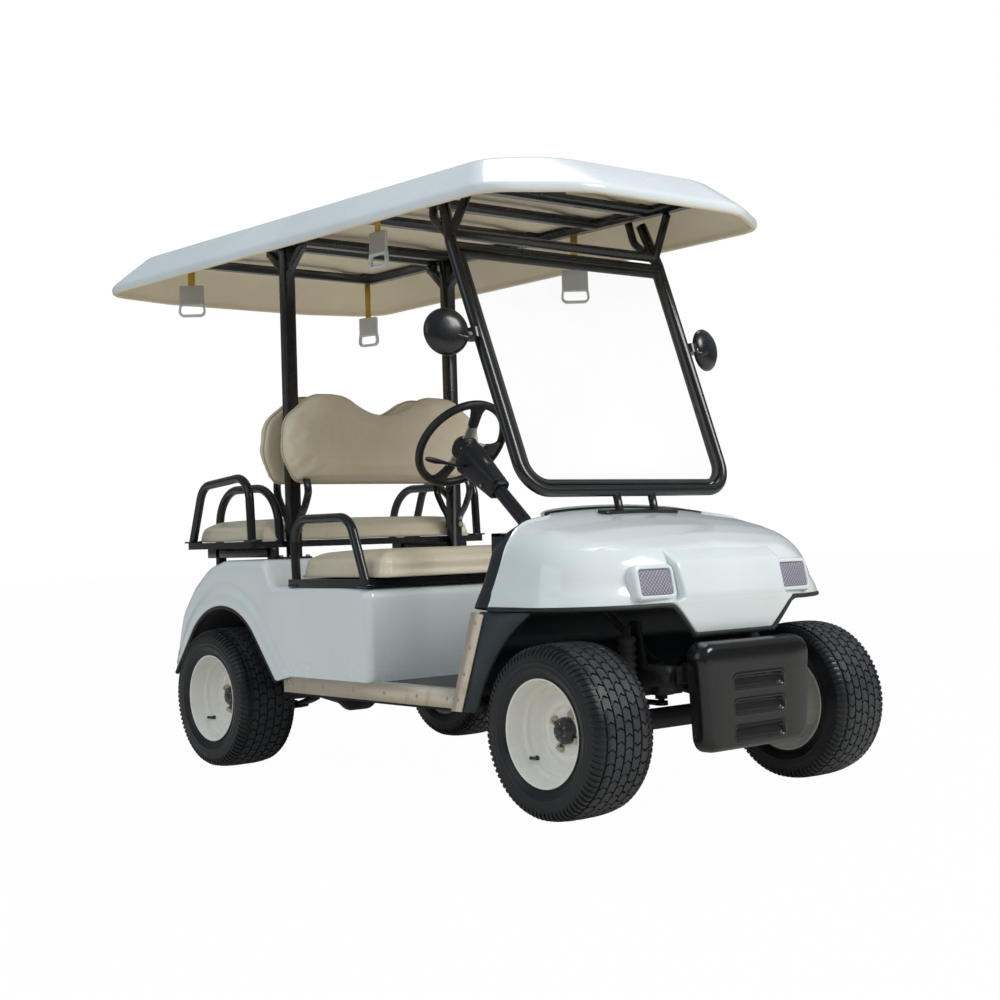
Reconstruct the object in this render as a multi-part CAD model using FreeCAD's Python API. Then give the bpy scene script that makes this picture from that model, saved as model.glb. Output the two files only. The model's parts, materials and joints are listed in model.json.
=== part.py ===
"""Four-seat golf cart, built as an assembly of separate parts that share one frame.

Units are millimetres. +Z is up, the cart drives towards -Y, and +X is the cart's left side.
The origin is on the ground, under the middle of the cart's outer box.
"""
import FreeCAD, Part

import math
import os

from FreeCAD import Vector

# Driving dimensions ---------------------------------------------------------------------------

front_axle_y = -1065
wheelbase = 1650
rear_axle_y = front_axle_y + wheelbase
front_track = 940
rear_track = 970

tyre_radius = 230
tyre_width = 205
bead_radius = 129
rim_flange_radius = 142
rim_half_width = 93
hub_bore_radius = 13
bolt_circle_radius = 50.8
bolt_hole_radius = 6.5

kingpin_x = 380
steering_arm = 90
tie_rod_z = 210
link_x = 236
pitman_x = -125

body_half_width = 535
body_bottom_z = 318
seat_box_front_y = -265
seat_box_top_z = 598
rear_deck_z = 684
rear_ring_y0 = 446
rear_ring_y1 = 874
rear_ring_top_z = 745
grab_radius = 11
cowl_edge_z = 549
liner_top_z = 536
panel = 6

floor_top_z = 318
floor_front_y = -749
rocker_x = 530

rail_x = 200
rail_width = 40
rail_height = 55
rail_front_y = -1180
rail_rear_y = 872
edge_tube_x = 475
tow_plate_y = 912
tow_plate_z = 288

upright_x = 340
upright_y = 425
upright_size = 38

roof_rail_x = 395
roof_rail_z = 1752
roof_tube = 30
roof_lip_z = 1654
roof_crease_z = 1779
roof_crown = 18
roof_shell = 8
roof_tilt = 0.3
roof_pivot_y = 160

screen_bottom = (404, -851, 859)
screen_top = (419, -569, 1583)
screen_tube = 17

steering_centre = Vector(-240, -365, 1020)
steering_rim_radius = 170
column_base = Vector(-250, -635, 800)
column_below_base = 190
steering_box_top = Vector(pitman_x, front_axle_y + 12, 372)

parts_folder = "parts"

# Working helpers ------------------------------------------------------------------------------


def place(plane, a, b, level):
    """Point of a flat drawing: plane names the two drawn axes, level is the third value."""
    if plane == "yz":
        return Vector(level, a, b)
    if plane == "xz":
        return Vector(a, level, b)
    return Vector(a, b, level)


def normal_of(plane):
    """Direction in which a drawing on this plane is pulled into a solid."""
    return {"yz": Vector(1, 0, 0), "xz": Vector(0, 1, 0), "xy": Vector(0, 0, 1)}[plane]


def corner(before, here, after, radius):
    """Start, middle and end of the tangent arc that rounds one corner."""
    towards_before = (before - here).normalize()
    towards_after = (after - here).normalize()
    half = towards_before.getAngle(towards_after) / 2
    bisector = (towards_before + towards_after).normalize()
    reach = radius / math.tan(half)
    middle = here + bisector * (radius / math.sin(half) - radius)
    return here + towards_before * reach, middle, here + towards_after * reach


def rounded_edges(points, radii, closed):
    """Lines and tangent arcs along a run of points; a zero radius keeps a sharp corner."""
    count = len(points)
    bends = []
    for index, radius in enumerate(radii):
        is_end = not closed and index in (0, count - 1)
        if radius == 0 or is_end:
            bends.append((points[index], None, points[index]))
        else:
            bends.append(corner(points[index - 1], points[index], points[(index + 1) % count], radius))
    edges = []
    for index, bend in enumerate(bends):
        if bend[1] is not None:
            edges.append(Part.Arc(*bend).toShape())
        if index == count - 1 and not closed:
            break
        following = bends[(index + 1) % count]
        if bend[2].distanceToPoint(following[0]) > 1e-4:
            edges.append(Part.LineSegment(bend[2], following[0]).toShape())
    return edges


def outline(corners, plane, level):
    """Closed wire through corners given as (a, b, radius)."""
    points = [place(plane, a, b, level) for a, b, radius in corners]
    return Part.Wire(rounded_edges(points, [radius for a, b, radius in corners], True))


def slab(corners, plane, low, high):
    """Outline pulled from level low to level high."""
    return Part.Face(outline(corners, plane, low)).extrude(normal_of(plane) * (high - low))


def block(x0, x1, y0, y1, z0, z1):
    """Box between two corners."""
    return Part.makeBox(x1 - x0, y1 - y0, z1 - z0, Vector(x0, y0, z0))


def rod(start, end, radius):
    """Round bar between two points."""
    run = Vector(*end) - Vector(*start)
    return Part.makeCylinder(radius, run.Length, Vector(*start), run)


def square_bar(start, end, width, height):
    """Rectangular bar between two points, its width measured across the run and level."""
    first = Vector(*start)
    run = Vector(*end) - first
    along = Vector(run).normalize()
    across = Vector(0, 0, 1).cross(along)
    if across.Length < 0.1:
        across = Vector(1, 0, 0)
    across.normalize()
    above = along.cross(across)
    signs = ((-1, -1), (1, -1), (1, 1), (-1, 1))
    points = [first + across * (width / 2 * a) + above * (height / 2 * b) for a, b in signs]
    return Part.Face(Part.makePolygon(points + points[:1])).extrude(run)


def bent_tube(points, radius, bend):
    """Round tube through points, each inner corner bent to the same radius."""
    vectors = [Vector(*point) for point in points]
    edges = rounded_edges(vectors, [bend] * len(vectors), False)
    heading = vectors[1] - vectors[0]
    section = Part.Face(Part.Wire(Part.Circle(vectors[0], heading, radius).toShape()))
    return Part.Wire(edges).makePipe(section)


def turned(corners, centre):
    """Solid of revolution about a line along X; corners are (x, r, radius)."""
    face = Part.Face(outline(corners, "xy", 0))
    body = face.revolve(Vector(0, 0, 0), Vector(1, 0, 0), 360)
    body.translate(Vector(*centre))
    return body


def mirrored(shape):
    """The same shape on the other side of the cart."""
    return shape.mirror(Vector(0, 0, 0), Vector(1, 0, 0))


def both_sides(shapes):
    """Every shape and its mirror image."""
    return shapes + [mirrored(shape) for shape in shapes]


def fused(shapes):
    """One solid out of shapes that overlap or touch."""
    return shapes[0].multiFuse(shapes[1:]).removeSplitter()


def save(name, shapes):
    """Write one node; a list becomes separate solids in one file."""
    shape = shapes if isinstance(shapes, Part.Shape) else Part.makeCompound(shapes)
    shape.exportStep(os.path.join(parts_folder, name + ".step"))
    print(name, len(shape.Solids), "solids", round(shape.Volume / 1000), "cm3", shape.isValid())


# Chassis --------------------------------------------------------------------------------------


def chassis_rails():
    """Two cranked box rails, with a tower for the front damper on each."""
    # y, z of a rail's underside, front to back
    run = ((rail_front_y, 325), (-880, 325), (-770, 246), (330, 246), (440, 330), (rail_rear_y, 330))
    lower = [(y, z, 12) for y, z in run]
    upper = [(y, z + rail_height, 12) for y, z in reversed(run)]
    for ends in (lower, upper):
        ends[0] = ends[0][:2] + (0,)
        ends[-1] = ends[-1][:2] + (0,)
    rail = slab(lower + upper, "yz", rail_x - rail_width / 2, rail_x + rail_width / 2)
    tower = slab(((-1110, 360, 0), (-1020, 360, 0), (-1045, 500, 10), (-1085, 500, 10)), "yz",
                 rail_x + 14, rail_x + 20)
    return both_sides([rail.fuse(tower)])


def chassis_crossmembers():
    """Bars between the rails, outriggers, the edge tubes under the floor and the tow plate."""
    inner = rail_x - rail_width / 2
    outer = rail_x + rail_width / 2
    bars = []
    # y, low z, high z of each bar between the rails
    for y, low, high in ((-1160, 330, 376), (-735, 251, 301), (-240, 251, 301), (190, 251, 301),
                         (560, 338, 383)):
        bars.append(block(-inner, inner, y - 20, y + 20, low, high))
    for y in (-735, -240, 190):
        bars.extend(both_sides([block(outer, edge_tube_x, y - 20, y + 20, 251, 301)]))
    bars.extend(both_sides([block(edge_tube_x, edge_tube_x + 30, -755, 210, 256, 301)]))
    rear_bar = block(-inner, inner, rail_rear_y - 40, rail_rear_y, 338, 383)
    hangers = both_sides([block(55, 85, rail_rear_y - 35, rail_rear_y - 5, 296, 340),
                          block(55, 85, rail_rear_y - 35, 904, 296, 308)])
    plate = block(-90, 90, 900, tow_plate_y, tow_plate_z - 26, tow_plate_z + 26)
    for x in (-60, 60):
        plate = plate.cut(Part.makeCylinder(6.5, 12, Vector(x, 900, tow_plate_z), Vector(0, 1, 0)))
    bars.append(fused([rear_bar, plate] + hangers))
    return bars


def floor_pan():
    """Flat cabin floor with long pressed ribs underneath."""
    floor = block(-rocker_x + 4, rocker_x - 4, floor_front_y, 230, 301, floor_top_z)
    for x in range(-440, 441, 110):
        if abs(abs(x) - rail_x) > 60 and abs(x) < 450:
            floor = floor.cut(block(x - 22, x + 22, floor_front_y + 60, seat_box_front_y, 300, 309))
    return floor


def sill_trim():
    """Aluminium sill along each side of the floor and the slanting strip ahead of it."""
    face = block(rocker_x, rocker_x + 5, -676, 200, 268, 317.5)
    lip = block(rocker_x - 24, rocker_x + 5, -676, seat_box_front_y - 3, floor_top_z, floor_top_z + 4)
    riser = block(rocker_x, rocker_x + 5, -676, seat_box_front_y - 3, 317, floor_top_z + 4)
    strip = slab(((-768, 536, 2), (-820, 530, 2), (-713, 262, 2), (-668, 262, 2)), "yz",
                 body_half_width + 5, body_half_width + 9)
    return both_sides([fused([face, lip, riser]), strip])


def battery_pack():
    """The traction batteries under the front seat, as one block."""
    return block(-270, 270, -205, 185, floor_top_z, 555)


# Front axle and steering ----------------------------------------------------------------------


def front_axle():
    """Square beam with a fork at each end for the knuckles, and two trailing links."""
    y0 = front_axle_y
    beam = block(-345, 345, y0 - 25, y0 + 25, 205, 255)
    solids = [beam]
    for side in (-1, 1):
        solids.append(block(*sorted((side * 330, side * 347)), y0 - 25, y0 + 25, 180, 280))
        for low in (180, 268):
            ear = block(*sorted((side * 340, side * kingpin_x)), y0 - 22, y0 + 22, low, low + 12)
            boss = Part.makeCylinder(22, 12, Vector(side * kingpin_x, y0, low))
            hole = Part.makeCylinder(9.4, 12, Vector(side * kingpin_x, y0, low))
            solids.append(ear.fuse(boss).cut(hole))
        solids.append(rod((side * link_x, y0 + 15, 230), (side * link_x, -757.5, 276), 14))
        solids.append(block(*sorted((side * (link_x - 14), side * (link_x + 14))), -760, -755, 254, 298))
    return fused(solids)


def damper(x, lower, upper, radius):
    """Spring damper in a ribbed rubber gaiter; lower and upper are (y, z)."""
    start = Vector(x, *lower)
    end = Vector(x, *upper)
    length = (end - start).Length
    rib_count = 8
    pitch = (length - 60) / rib_count
    corners = [(0, 0, 0), (0, radius * 0.62, 0), (30, radius * 0.62, 0)]
    for rib in range(rib_count):
        corners.append((30 + pitch * (rib + 0.5), radius, 0))
        corners.append((30 + pitch * (rib + 1), radius * 0.74, 0))
    corners += [(length - 30, radius * 0.45, 0), (length, radius * 0.45, 0), (length, 0, 0)]
    body = turned(corners, (0, 0, 0))
    turn = FreeCAD.Rotation(Vector(1, 0, 0), end - start)
    body.Placement = FreeCAD.Placement(start, turn)
    return body


def front_suspension():
    """A gaitered spring damper each side, from the beam up to its tower."""
    return both_sides([damper(249, (front_axle_y, 255), (front_axle_y, 490), 27)])


def knuckle(side):
    """Kingpin boss with its two pins, the stub axle and the steering arm."""
    y0 = front_axle_y
    centre = Vector(side * kingpin_x, y0, 197)
    boss = Part.makeCylinder(20, 66, centre)
    pins = Part.makeCylinder(9, 110, Vector(side * kingpin_x, y0, 175))
    stub = rod((side * kingpin_x, y0, 230), (side * 462, y0, 230), hub_bore_radius - 0.4)
    shoulder = rod((side * kingpin_x, y0, 230), (side * 402, y0, 230), 17)
    arm = block(side * kingpin_x - 12, side * kingpin_x + 12, y0, y0 + steering_arm, 223, 237)
    eye = Part.makeCylinder(14, 14, Vector(side * kingpin_x, y0 + steering_arm, 223))
    ball_pin = Part.makeCylinder(6, 32, Vector(side * kingpin_x, y0 + steering_arm, 197))
    return fused([boss, pins, shoulder, stub, arm, eye, ball_pin])


def tie_rod():
    """Rod across the cart with an eye for each knuckle and one for the pitman arm."""
    y0 = front_axle_y + steering_arm
    bar = rod((-kingpin_x, y0, tie_rod_z), (kingpin_x, y0, tie_rod_z), 8)
    joints = [Vector(x, y0, tie_rod_z - 10) for x in (-kingpin_x, pitman_x, kingpin_x)]
    eyes = [Part.makeCylinder(14, 20, joint) for joint in joints]
    holes = [Part.makeCylinder(6.6, 20, joint) for joint in joints]
    rod_body = fused([bar] + eyes)
    for hole in holes:
        rod_body = rod_body.cut(hole)
    return rod_body


def pitman_arm():
    """Arm on the steering box that swings the tie rod."""
    y0 = front_axle_y
    arm = block(pitman_x - 12, pitman_x + 12, y0, y0 + steering_arm, 264, 276)
    hub = Part.makeCylinder(18, 12, Vector(pitman_x, y0, 264))
    eye = Part.makeCylinder(14, 12, Vector(pitman_x, y0 + steering_arm, 264))
    drop_pin = Part.makeCylinder(6, 72, Vector(pitman_x, y0 + steering_arm, 196))
    shaft = Part.makeCylinder(9, 30, Vector(pitman_x, y0, 264))
    return fused([arm, hub, eye, drop_pin, shaft])


def column_axis():
    """Unit vector up the steering column."""
    return (steering_centre - column_base).normalize()


def column_joint():
    """Centre of the universal joint under the column."""
    return column_base - column_axis() * column_below_base


def steering_column():
    """Column tube, its shroud, the jointed lower shaft and the steering box."""
    along = column_axis()
    top = steering_centre - along * 48
    tube = rod(tuple(column_joint()), tuple(top), 19)
    shroud = rod(tuple(steering_centre - along * 150), tuple(top), 34)
    lower_shaft = rod(tuple(column_joint()), tuple(steering_box_top), 11)
    knobs = [Part.makeSphere(22, column_joint()), Part.makeSphere(20, steering_box_top)]
    gear_case = block(pitman_x - 42, pitman_x + 42, front_axle_y - 40, front_axle_y + 48, 296, 368)
    neck = Part.makeCylinder(17, 18, Vector(pitman_x, front_axle_y, 282))
    bore = Part.makeCylinder(9.6, 14, Vector(pitman_x, front_axle_y, 282))
    bracket = block(rail_width / 2 - rail_x, pitman_x - 40, front_axle_y - 30, front_axle_y + 30, 330, 360)
    whole = fused([tube, shroud, lower_shaft, gear_case, neck, bracket] + knobs)
    return whole.cut(bore)


def steering_wheel():
    """Rim, three spokes and hub, tilted with the column."""
    minor = 13
    rim = Part.makeTorus(steering_rim_radius - minor, minor)
    solids = [rim, Part.makeCylinder(38, 40, Vector(0, 0, -44))]
    for angle in (90, 210, 330):
        spoke = block(20, steering_rim_radius - minor, -16, 16, -4, 4)
        drop = spoke.copy()
        drop.rotate(Vector(0, 0, 0), Vector(0, 1, 0), -8)
        drop.translate(Vector(0, 0, -18))
        drop.rotate(Vector(0, 0, 0), Vector(0, 0, 1), angle)
        solids.append(drop)
    wheel = fused(solids)
    wheel.Placement = FreeCAD.Placement(steering_centre, FreeCAD.Rotation(Vector(0, 0, 1), column_axis()))
    return wheel


def pedals():
    """Accelerator and brake pads on arms that hang from a cross bar."""
    bar = rod((-330, -772, 520), (-120, -772, 520), 8)
    solids = [bar]
    # x of the arm, half width of the pad
    for x, half in ((-290, 42), (-180, 34)):
        solids.append(square_bar((x, -772, 520), (x, -722, 380), 12, 10))
        pad = ((-728, 352, 3), (-716, 350, 3), (-696, 400, 3), (-708, 404, 3))
        solids.append(slab(pad, "yz", x - half, x + half))
    return fused(solids)


# Wheels ---------------------------------------------------------------------------------------


def tyre(centre):
    """Hollow tyre: crown, shoulders, sidewalls and beads."""
    # x, r, rounding of the outer skin from one bead to the crown; the other half is its mirror
    half_outer = ((72, bead_radius, 2), (88.5, bead_radius, 3), (88.5, 147, 3), (97, 160, 10),
                  (tyre_width / 2, 188, 28), (98, 216, 12), (80, 227, 25))
    half_inner = ((84, 209, 12), (92, 188, 22), (88, 166, 10), (76, 150, 6))
    outer = list(half_outer) + [(0, tyre_radius, 500)]
    outer += [(-x, r, rounding) for x, r, rounding in reversed(half_outer)]
    inner = [(-x, r, rounding) for x, r, rounding in reversed(half_inner)] + [(0, 217, 0)]
    inner += list(half_inner)
    return turned(outer + inner, centre)


def wheel_rim(side, centre):
    """Pressed steel rim with a deep-set disc, four bolt holes, hub barrel and hub cap."""
    # x, r, rounding; x is positive towards the outside of the cart
    barrel = ((89, rim_flange_radius, 0), (89, 128.6, 2), (62, 127, 3), (50, 109, 5), (-34, 109, 5),
              (-46, 127, 3), (-89, 128.6, 2), (-89, rim_flange_radius, 0),
              (-rim_half_width, rim_flange_radius, 0), (-rim_half_width, 124, 3), (-44, 123, 3),
              (-31, 105, 5), (47, 105, 5), (59, 123, 3),
              (rim_half_width, 124, 3), (rim_half_width, rim_flange_radius, 0))
    disc = ((-2, 107, 0), (-2, 92, 4), (-8, 78, 4), (-8, hub_bore_radius, 0), (-13, hub_bore_radius, 0),
            (-13, 80, 4), (-7, 96, 4), (-7, 107, 0))
    hub = ((-13, 34, 0), (-13, hub_bore_radius, 0), (-62, hub_bore_radius, 0), (-62, 26, 3), (-30, 30, 3))
    cap = ((-8, 0, 0), (-8, 36, 0), (6, 34, 3), (18, 28, 4), (18, 0, 0))
    whole = fused([turned(profile, (0, 0, 0)) for profile in (barrel, disc, hub, cap)])
    for index in range(4):
        angle = math.radians(45 + 90 * index)
        spot = Vector(-20, bolt_circle_radius * math.cos(angle), bolt_circle_radius * math.sin(angle))
        whole = whole.cut(Part.makeCylinder(bolt_hole_radius, 20, spot, Vector(1, 0, 0)))
    if side < 0:
        whole = mirrored(whole)
    whole.translate(Vector(*centre))
    return whole


# Rear axle ------------------------------------------------------------------------------------


def rear_axle():
    """Axle tubes, gear case and drum brakes, with a stub into each wheel."""
    y0 = rear_axle_y
    z0 = tyre_radius
    tube = rod((-388, y0, z0), (388, y0, z0), 32)
    case_profile = ((-70, 0, 0), (-70, 60, 12), (-30, 92, 14), (40, 92, 14), (80, 60, 12), (80, 0, 0))
    case = turned(case_profile, (0, y0, z0))
    gear_case_outline = ((y0, z0 - 70, 20), (y0, z0 + 70, 20), (y0 + 245, z0 + 78, 30),
                         (y0 + 245, z0 - 42, 30))
    gear_case = slab(gear_case_outline, "yz", -52, 6)
    solids = [tube, case, gear_case]
    for side in (-1, 1):
        solids.append(rod((side * 384, y0, z0), (side * 418, y0, z0), 84))
        solids.append(rod((side * 400, y0, z0), (side * 474, y0, z0), hub_bore_radius - 0.4))
    return fused(solids)


def drive_motor():
    """Electric drive motor on the gear case, as one plain drum."""
    return rod((6.5, rear_axle_y + 172, 250), (206, rear_axle_y + 172, 250), 70)


def rear_suspension():
    """Three-leaf spring each side under the axle tube, with its eyes and a damper."""
    x0 = 268
    y0 = rear_axle_y
    leaves = []
    # half length, underside z in the middle, rise at the tips
    for half, low, rise in ((255, 184, 62), (180, 177, 33), (110, 170, 13)):
        bottom = [Vector(x0, y0 - half, low + rise), Vector(x0, y0, low), Vector(x0, y0 + half, low + rise)]
        top = [point + Vector(0, 0, 7) for point in bottom]
        edges = [Part.Arc(*bottom).toShape(), Part.LineSegment(bottom[2], top[2]).toShape(),
                 Part.Arc(*reversed(top)).toShape(), Part.LineSegment(top[0], bottom[0]).toShape()]
        leaves.append(Part.Face(Part.Wire(edges)).extrude(Vector(50, 0, 0)))
    saddle = block(x0 - 2, x0 + 52, y0 - 40, y0 + 40, 188, 197.8)
    solids = leaves + [saddle]
    for y in (y0 - 258, y0 + 258):
        solids.append(rod((x0, y, 252), (x0 + 50, y, 252), 15))
        solids.append(block(x0 + 10, x0 + 40, y - 8, y + 8, 252, 335))
        solids.append(block(rail_x + rail_width / 2, x0 + 45, y - 20, y + 20, 335, 350))
    spring = fused(solids)
    shock = damper(244, (y0 + 48, 262), (y0 + 70, 480), 22)
    return both_sides([spring, shock])


# Body panels ----------------------------------------------------------------------------------

# y, half width at the foot, side top (x, z), crown edge (x, z), crown z, from the cabin forwards
hood_stations = (
    (-778, 549, 522, 690, 440, 783, 812),
    (-850, 545, 519, 682, 436, 774, 801.5),
    (-960, 540, 507, 664, 420, 748, 776),
    (-1065, 514, 486, 640, 396, 717, 743),
    (-1150, 446, 425, 612, 345, 683, 708),
    (-1192, 365, 350, 596, 280, 660, 682),
    (-1212, 290, 280, 588, 225, 650, 665),
)

# y, z, rounding of the hood's rear edge seen from the side, from the foot up to the middle
hood_rear_edge = ((-840, 549, 30), (-860, 613, 80), (-870, 674, 60), (-870, 729, 60), (-860, 765, 40),
                  (-845, 786, 20), (-800, 797, 30), (-782, 806, 10))

# inner x, outer x, foot z, top z of a headlamp opening, and how far its raised surround reaches
lamp_opening = (230, 334, 574, 642)
lamp_surround = (38, 31, 17)

shoulder_bow = 0.075
hood_slope = 12


def hood_solid(inset, rear_shift, front_shift, foot_z):
    """Smooth loft through the hood stations, each drawn inwards by inset."""
    sections = []
    last = len(hood_stations) - 1
    for index, (y, foot, side_x, side_z, edge_x, edge_z, crown_z) in enumerate(hood_stations):
        y += rear_shift if index == 0 else 0
        y += front_shift if index == last else 0
        slant = math.hypot(edge_x - side_x, edge_z - side_z) * shoulder_bow
        left = [Vector(foot - inset, y, foot_z), Vector(side_x - inset, y, side_z)]
        bulge = Vector((side_x + edge_x) / 2 - inset + slant, y, (side_z + edge_z) / 2 + slant - inset)
        edge = Vector(edge_x - inset, y, edge_z - inset)
        crown = Vector(0, y, crown_z - inset)
        flip = [Vector(-point.x, point.y, point.z) for point in (left[0], left[1], bulge, edge)]
        edges = [Part.LineSegment(flip[0], left[0]).toShape(),
                 Part.LineSegment(left[0], left[1]).toShape(),
                 Part.Arc(left[1], bulge, edge).toShape(),
                 Part.Arc(edge, crown, flip[3]).toShape(),
                 Part.Arc(flip[3], flip[2], flip[1]).toShape(),
                 Part.LineSegment(flip[1], flip[0]).toShape()]
        sections.append(Part.Wire(edges))
    return Part.makeLoft(sections, True, False)


def nose_solid(inset):
    """Centre of the front face, which runs down to a narrow chin."""
    profile = ((-1150, 712 - inset, 0), (-1190, 676 - inset, 30), (-1217 + inset, 655 - inset, 12),
               (-1243 + inset, 572, 14), (-1233 + inset, 468 - 2 * inset, 0), (-1150, 468 - 2 * inset, 0))
    side_view = slab(profile, "yz", -215 + inset, 215 - inset)
    front_view = slab(((-141 + inset, 468 - 2 * inset, 8), (141 - inset, 468 - 2 * inset, 8),
                       (212 - inset, 530, 20), (205 - inset, 730, 0), (-205 + inset, 730, 0),
                       (-212 + inset, 530, 20)), "xz", -1260, -1140)
    return side_view.common(front_view)


def lamp_slab(side, grow, front_y, rear_y, rounding):
    """Rounded square round one headlamp opening, grown by (inner, outer, height) amounts."""
    inner, outer, height = grow
    low_x, high_x, low_z, high_z = lamp_opening
    corners = ((low_x - inner, low_z - height), (high_x + outer, low_z - height),
               (high_x + outer, high_z + height), (low_x - inner, high_z + height))
    return slab([(side * x, z, rounding) for x, z in corners], "xz", front_y, rear_y)


def front_cowl():
    """One moulded shell: arched hood, rounded shoulders, raised lamp surrounds and chin."""
    outer = hood_solid(0, 0, 0, cowl_edge_z).fuse(nose_solid(0))
    inner = hood_solid(panel, 20, panel, cowl_edge_z - 20).fuse(nose_solid(panel))
    for side in (-1, 1):
        outer = outer.fuse(lamp_slab(side, lamp_surround, -1221, -1190, 14))
    shell = outer.cut(inner)
    for side in (-1, 1):
        shell = shell.cut(lamp_slab(side, (0, 0, 0), -1260, -1150, 6))
    behind = list(hood_rear_edge) + [(-782, 860, 0), (-700, 860, 0), (-700, 500, 0), (-840, 500, 0)]
    return shell.cut(slab(behind, "yz", -600, 600))


def edge_trim():
    """Black rubber edging under the cowl and round both rear arches."""
    solids = []
    # cowl edging: x, y along the foot of the shell, from the cabin to the chin
    run = ((542, -842), (537, -960), (511, -1065), (443, -1150), (362, -1192), (288, -1209), (235, -1209))
    for side in (-1, 1):
        for (x0, y0), (x1, y1) in zip(run, run[1:]):
            solids.append(rod((side * x0, y0, cowl_edge_z - 6), (side * x1, y1, cowl_edge_z - 6), 6))
            solids.append(Part.makeSphere(6, Vector(side * x1, y1, cowl_edge_z - 6)))
        solids.append(rod((side * 235, -1209, cowl_edge_z - 6), (side * 150, -1228, 461), 6))
        solids.append(Part.makeSphere(6, Vector(side * 150, -1228, 461)))
    solids.append(rod((-150, -1228, 461), (150, -1228, 461), 6))
    cowl_edging = fused(solids)
    ring = arch_slab(0, body_half_width - 4, body_half_width + 5)
    ring = ring.cut(arch_slab(-12, body_half_width - 5, body_half_width + 6))
    ring = ring.cut(block(body_half_width - 10, body_half_width + 10, 200, 930, 290, 300))
    return [cowl_edging] + both_sides([ring])


def headlamps():
    """Square lens in each lamp pocket."""
    return [lamp_slab(side, (0, 0, 0), -1206, -1180, 6) for side in (1, -1)]


def front_bumper():
    """Rounded moulded box with three pressed recesses, open at the back, and two brackets."""
    def shape(inset):
        top = 446 - inset
        foot = 155 + inset
        side_view = slab(((-1186, top, 8), (-1280 + inset, top, 35), (-1313 + inset, 300, 300),
                          (-1312 + inset, foot, 20), (-1200, foot, 8)), "yz", -260, 260)
        front_view = slab(((-200 + inset, foot, 30), (200 - inset, foot, 30), (216 - inset, 300, 300),
                           (212 - inset, top, 26), (-212 + inset, top, 26), (-216 + inset, 300, 300)),
                          "xz", -1400, -1100)
        plan = slab(((-230 + inset, -1170, 0), (230 - inset, -1170, 0), (219 - inset, -1314 + inset, 42),
                     (-219 + inset, -1314 + inset, 42)), "xy", 100, 500)
        return side_view.common(front_view).common(plan)
    shell = shape(0).cut(shape(5).fuse(block(-200, 200, -1200, -1180, 170, 430)))
    for z in (205, 274, 343):
        recess = ((-100, z - 25, 8), (100, z - 25, 8), (100, z + 25, 8), (-100, z + 25, 8))
        tray = ((-104, z - 29, 10), (104, z - 29, 10), (104, z + 29, 10), (-104, z + 29, 10))
        shell = shell.fuse(slab(tray, "xz", -1309, -1291)).cut(slab(recess, "xz", -1330, -1296))
    brackets = [block(*sorted((side * 150, side * 156)), -1308, rail_front_y, 345, 375) for side in (-1, 1)]
    return shell.fuse(brackets)


def front_liner():
    """Dark wheel-arch panels: a cheek each side and the bulkhead ahead of the floor."""
    # y, z, rounding of the cheek; its front edge curves round the tyre
    cheek_edges = [Part.LineSegment(Vector(0, -700, 262), Vector(0, -770, 262)).toShape(),
                   Part.Arc(Vector(0, -770, 262), Vector(0, -838, 390), Vector(0, -1000, 530)).toShape(),
                   Part.LineSegment(Vector(0, -1000, 530), Vector(0, -1000, liner_top_z)).toShape(),
                   Part.LineSegment(Vector(0, -1000, liner_top_z), Vector(0, -800, liner_top_z)).toShape(),
                   Part.LineSegment(Vector(0, -800, liner_top_z), Vector(0, -700, 262)).toShape()]
    cheek = Part.Face(Part.Wire(cheek_edges)).extrude(Vector(10, 0, 0))
    cheek.translate(Vector(body_half_width - 5, 0, 0))
    run = ((-750, 306), (-750, 440), (-800, liner_top_z))
    front = [(y - 6, z, 0) for y, z in run]
    back = [(y, z, 0) for y, z in reversed(run)]
    wall = slab(front + back, "yz", -(body_half_width - 5), body_half_width - 5)
    return fused([wall] + both_sides([cheek]))


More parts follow.
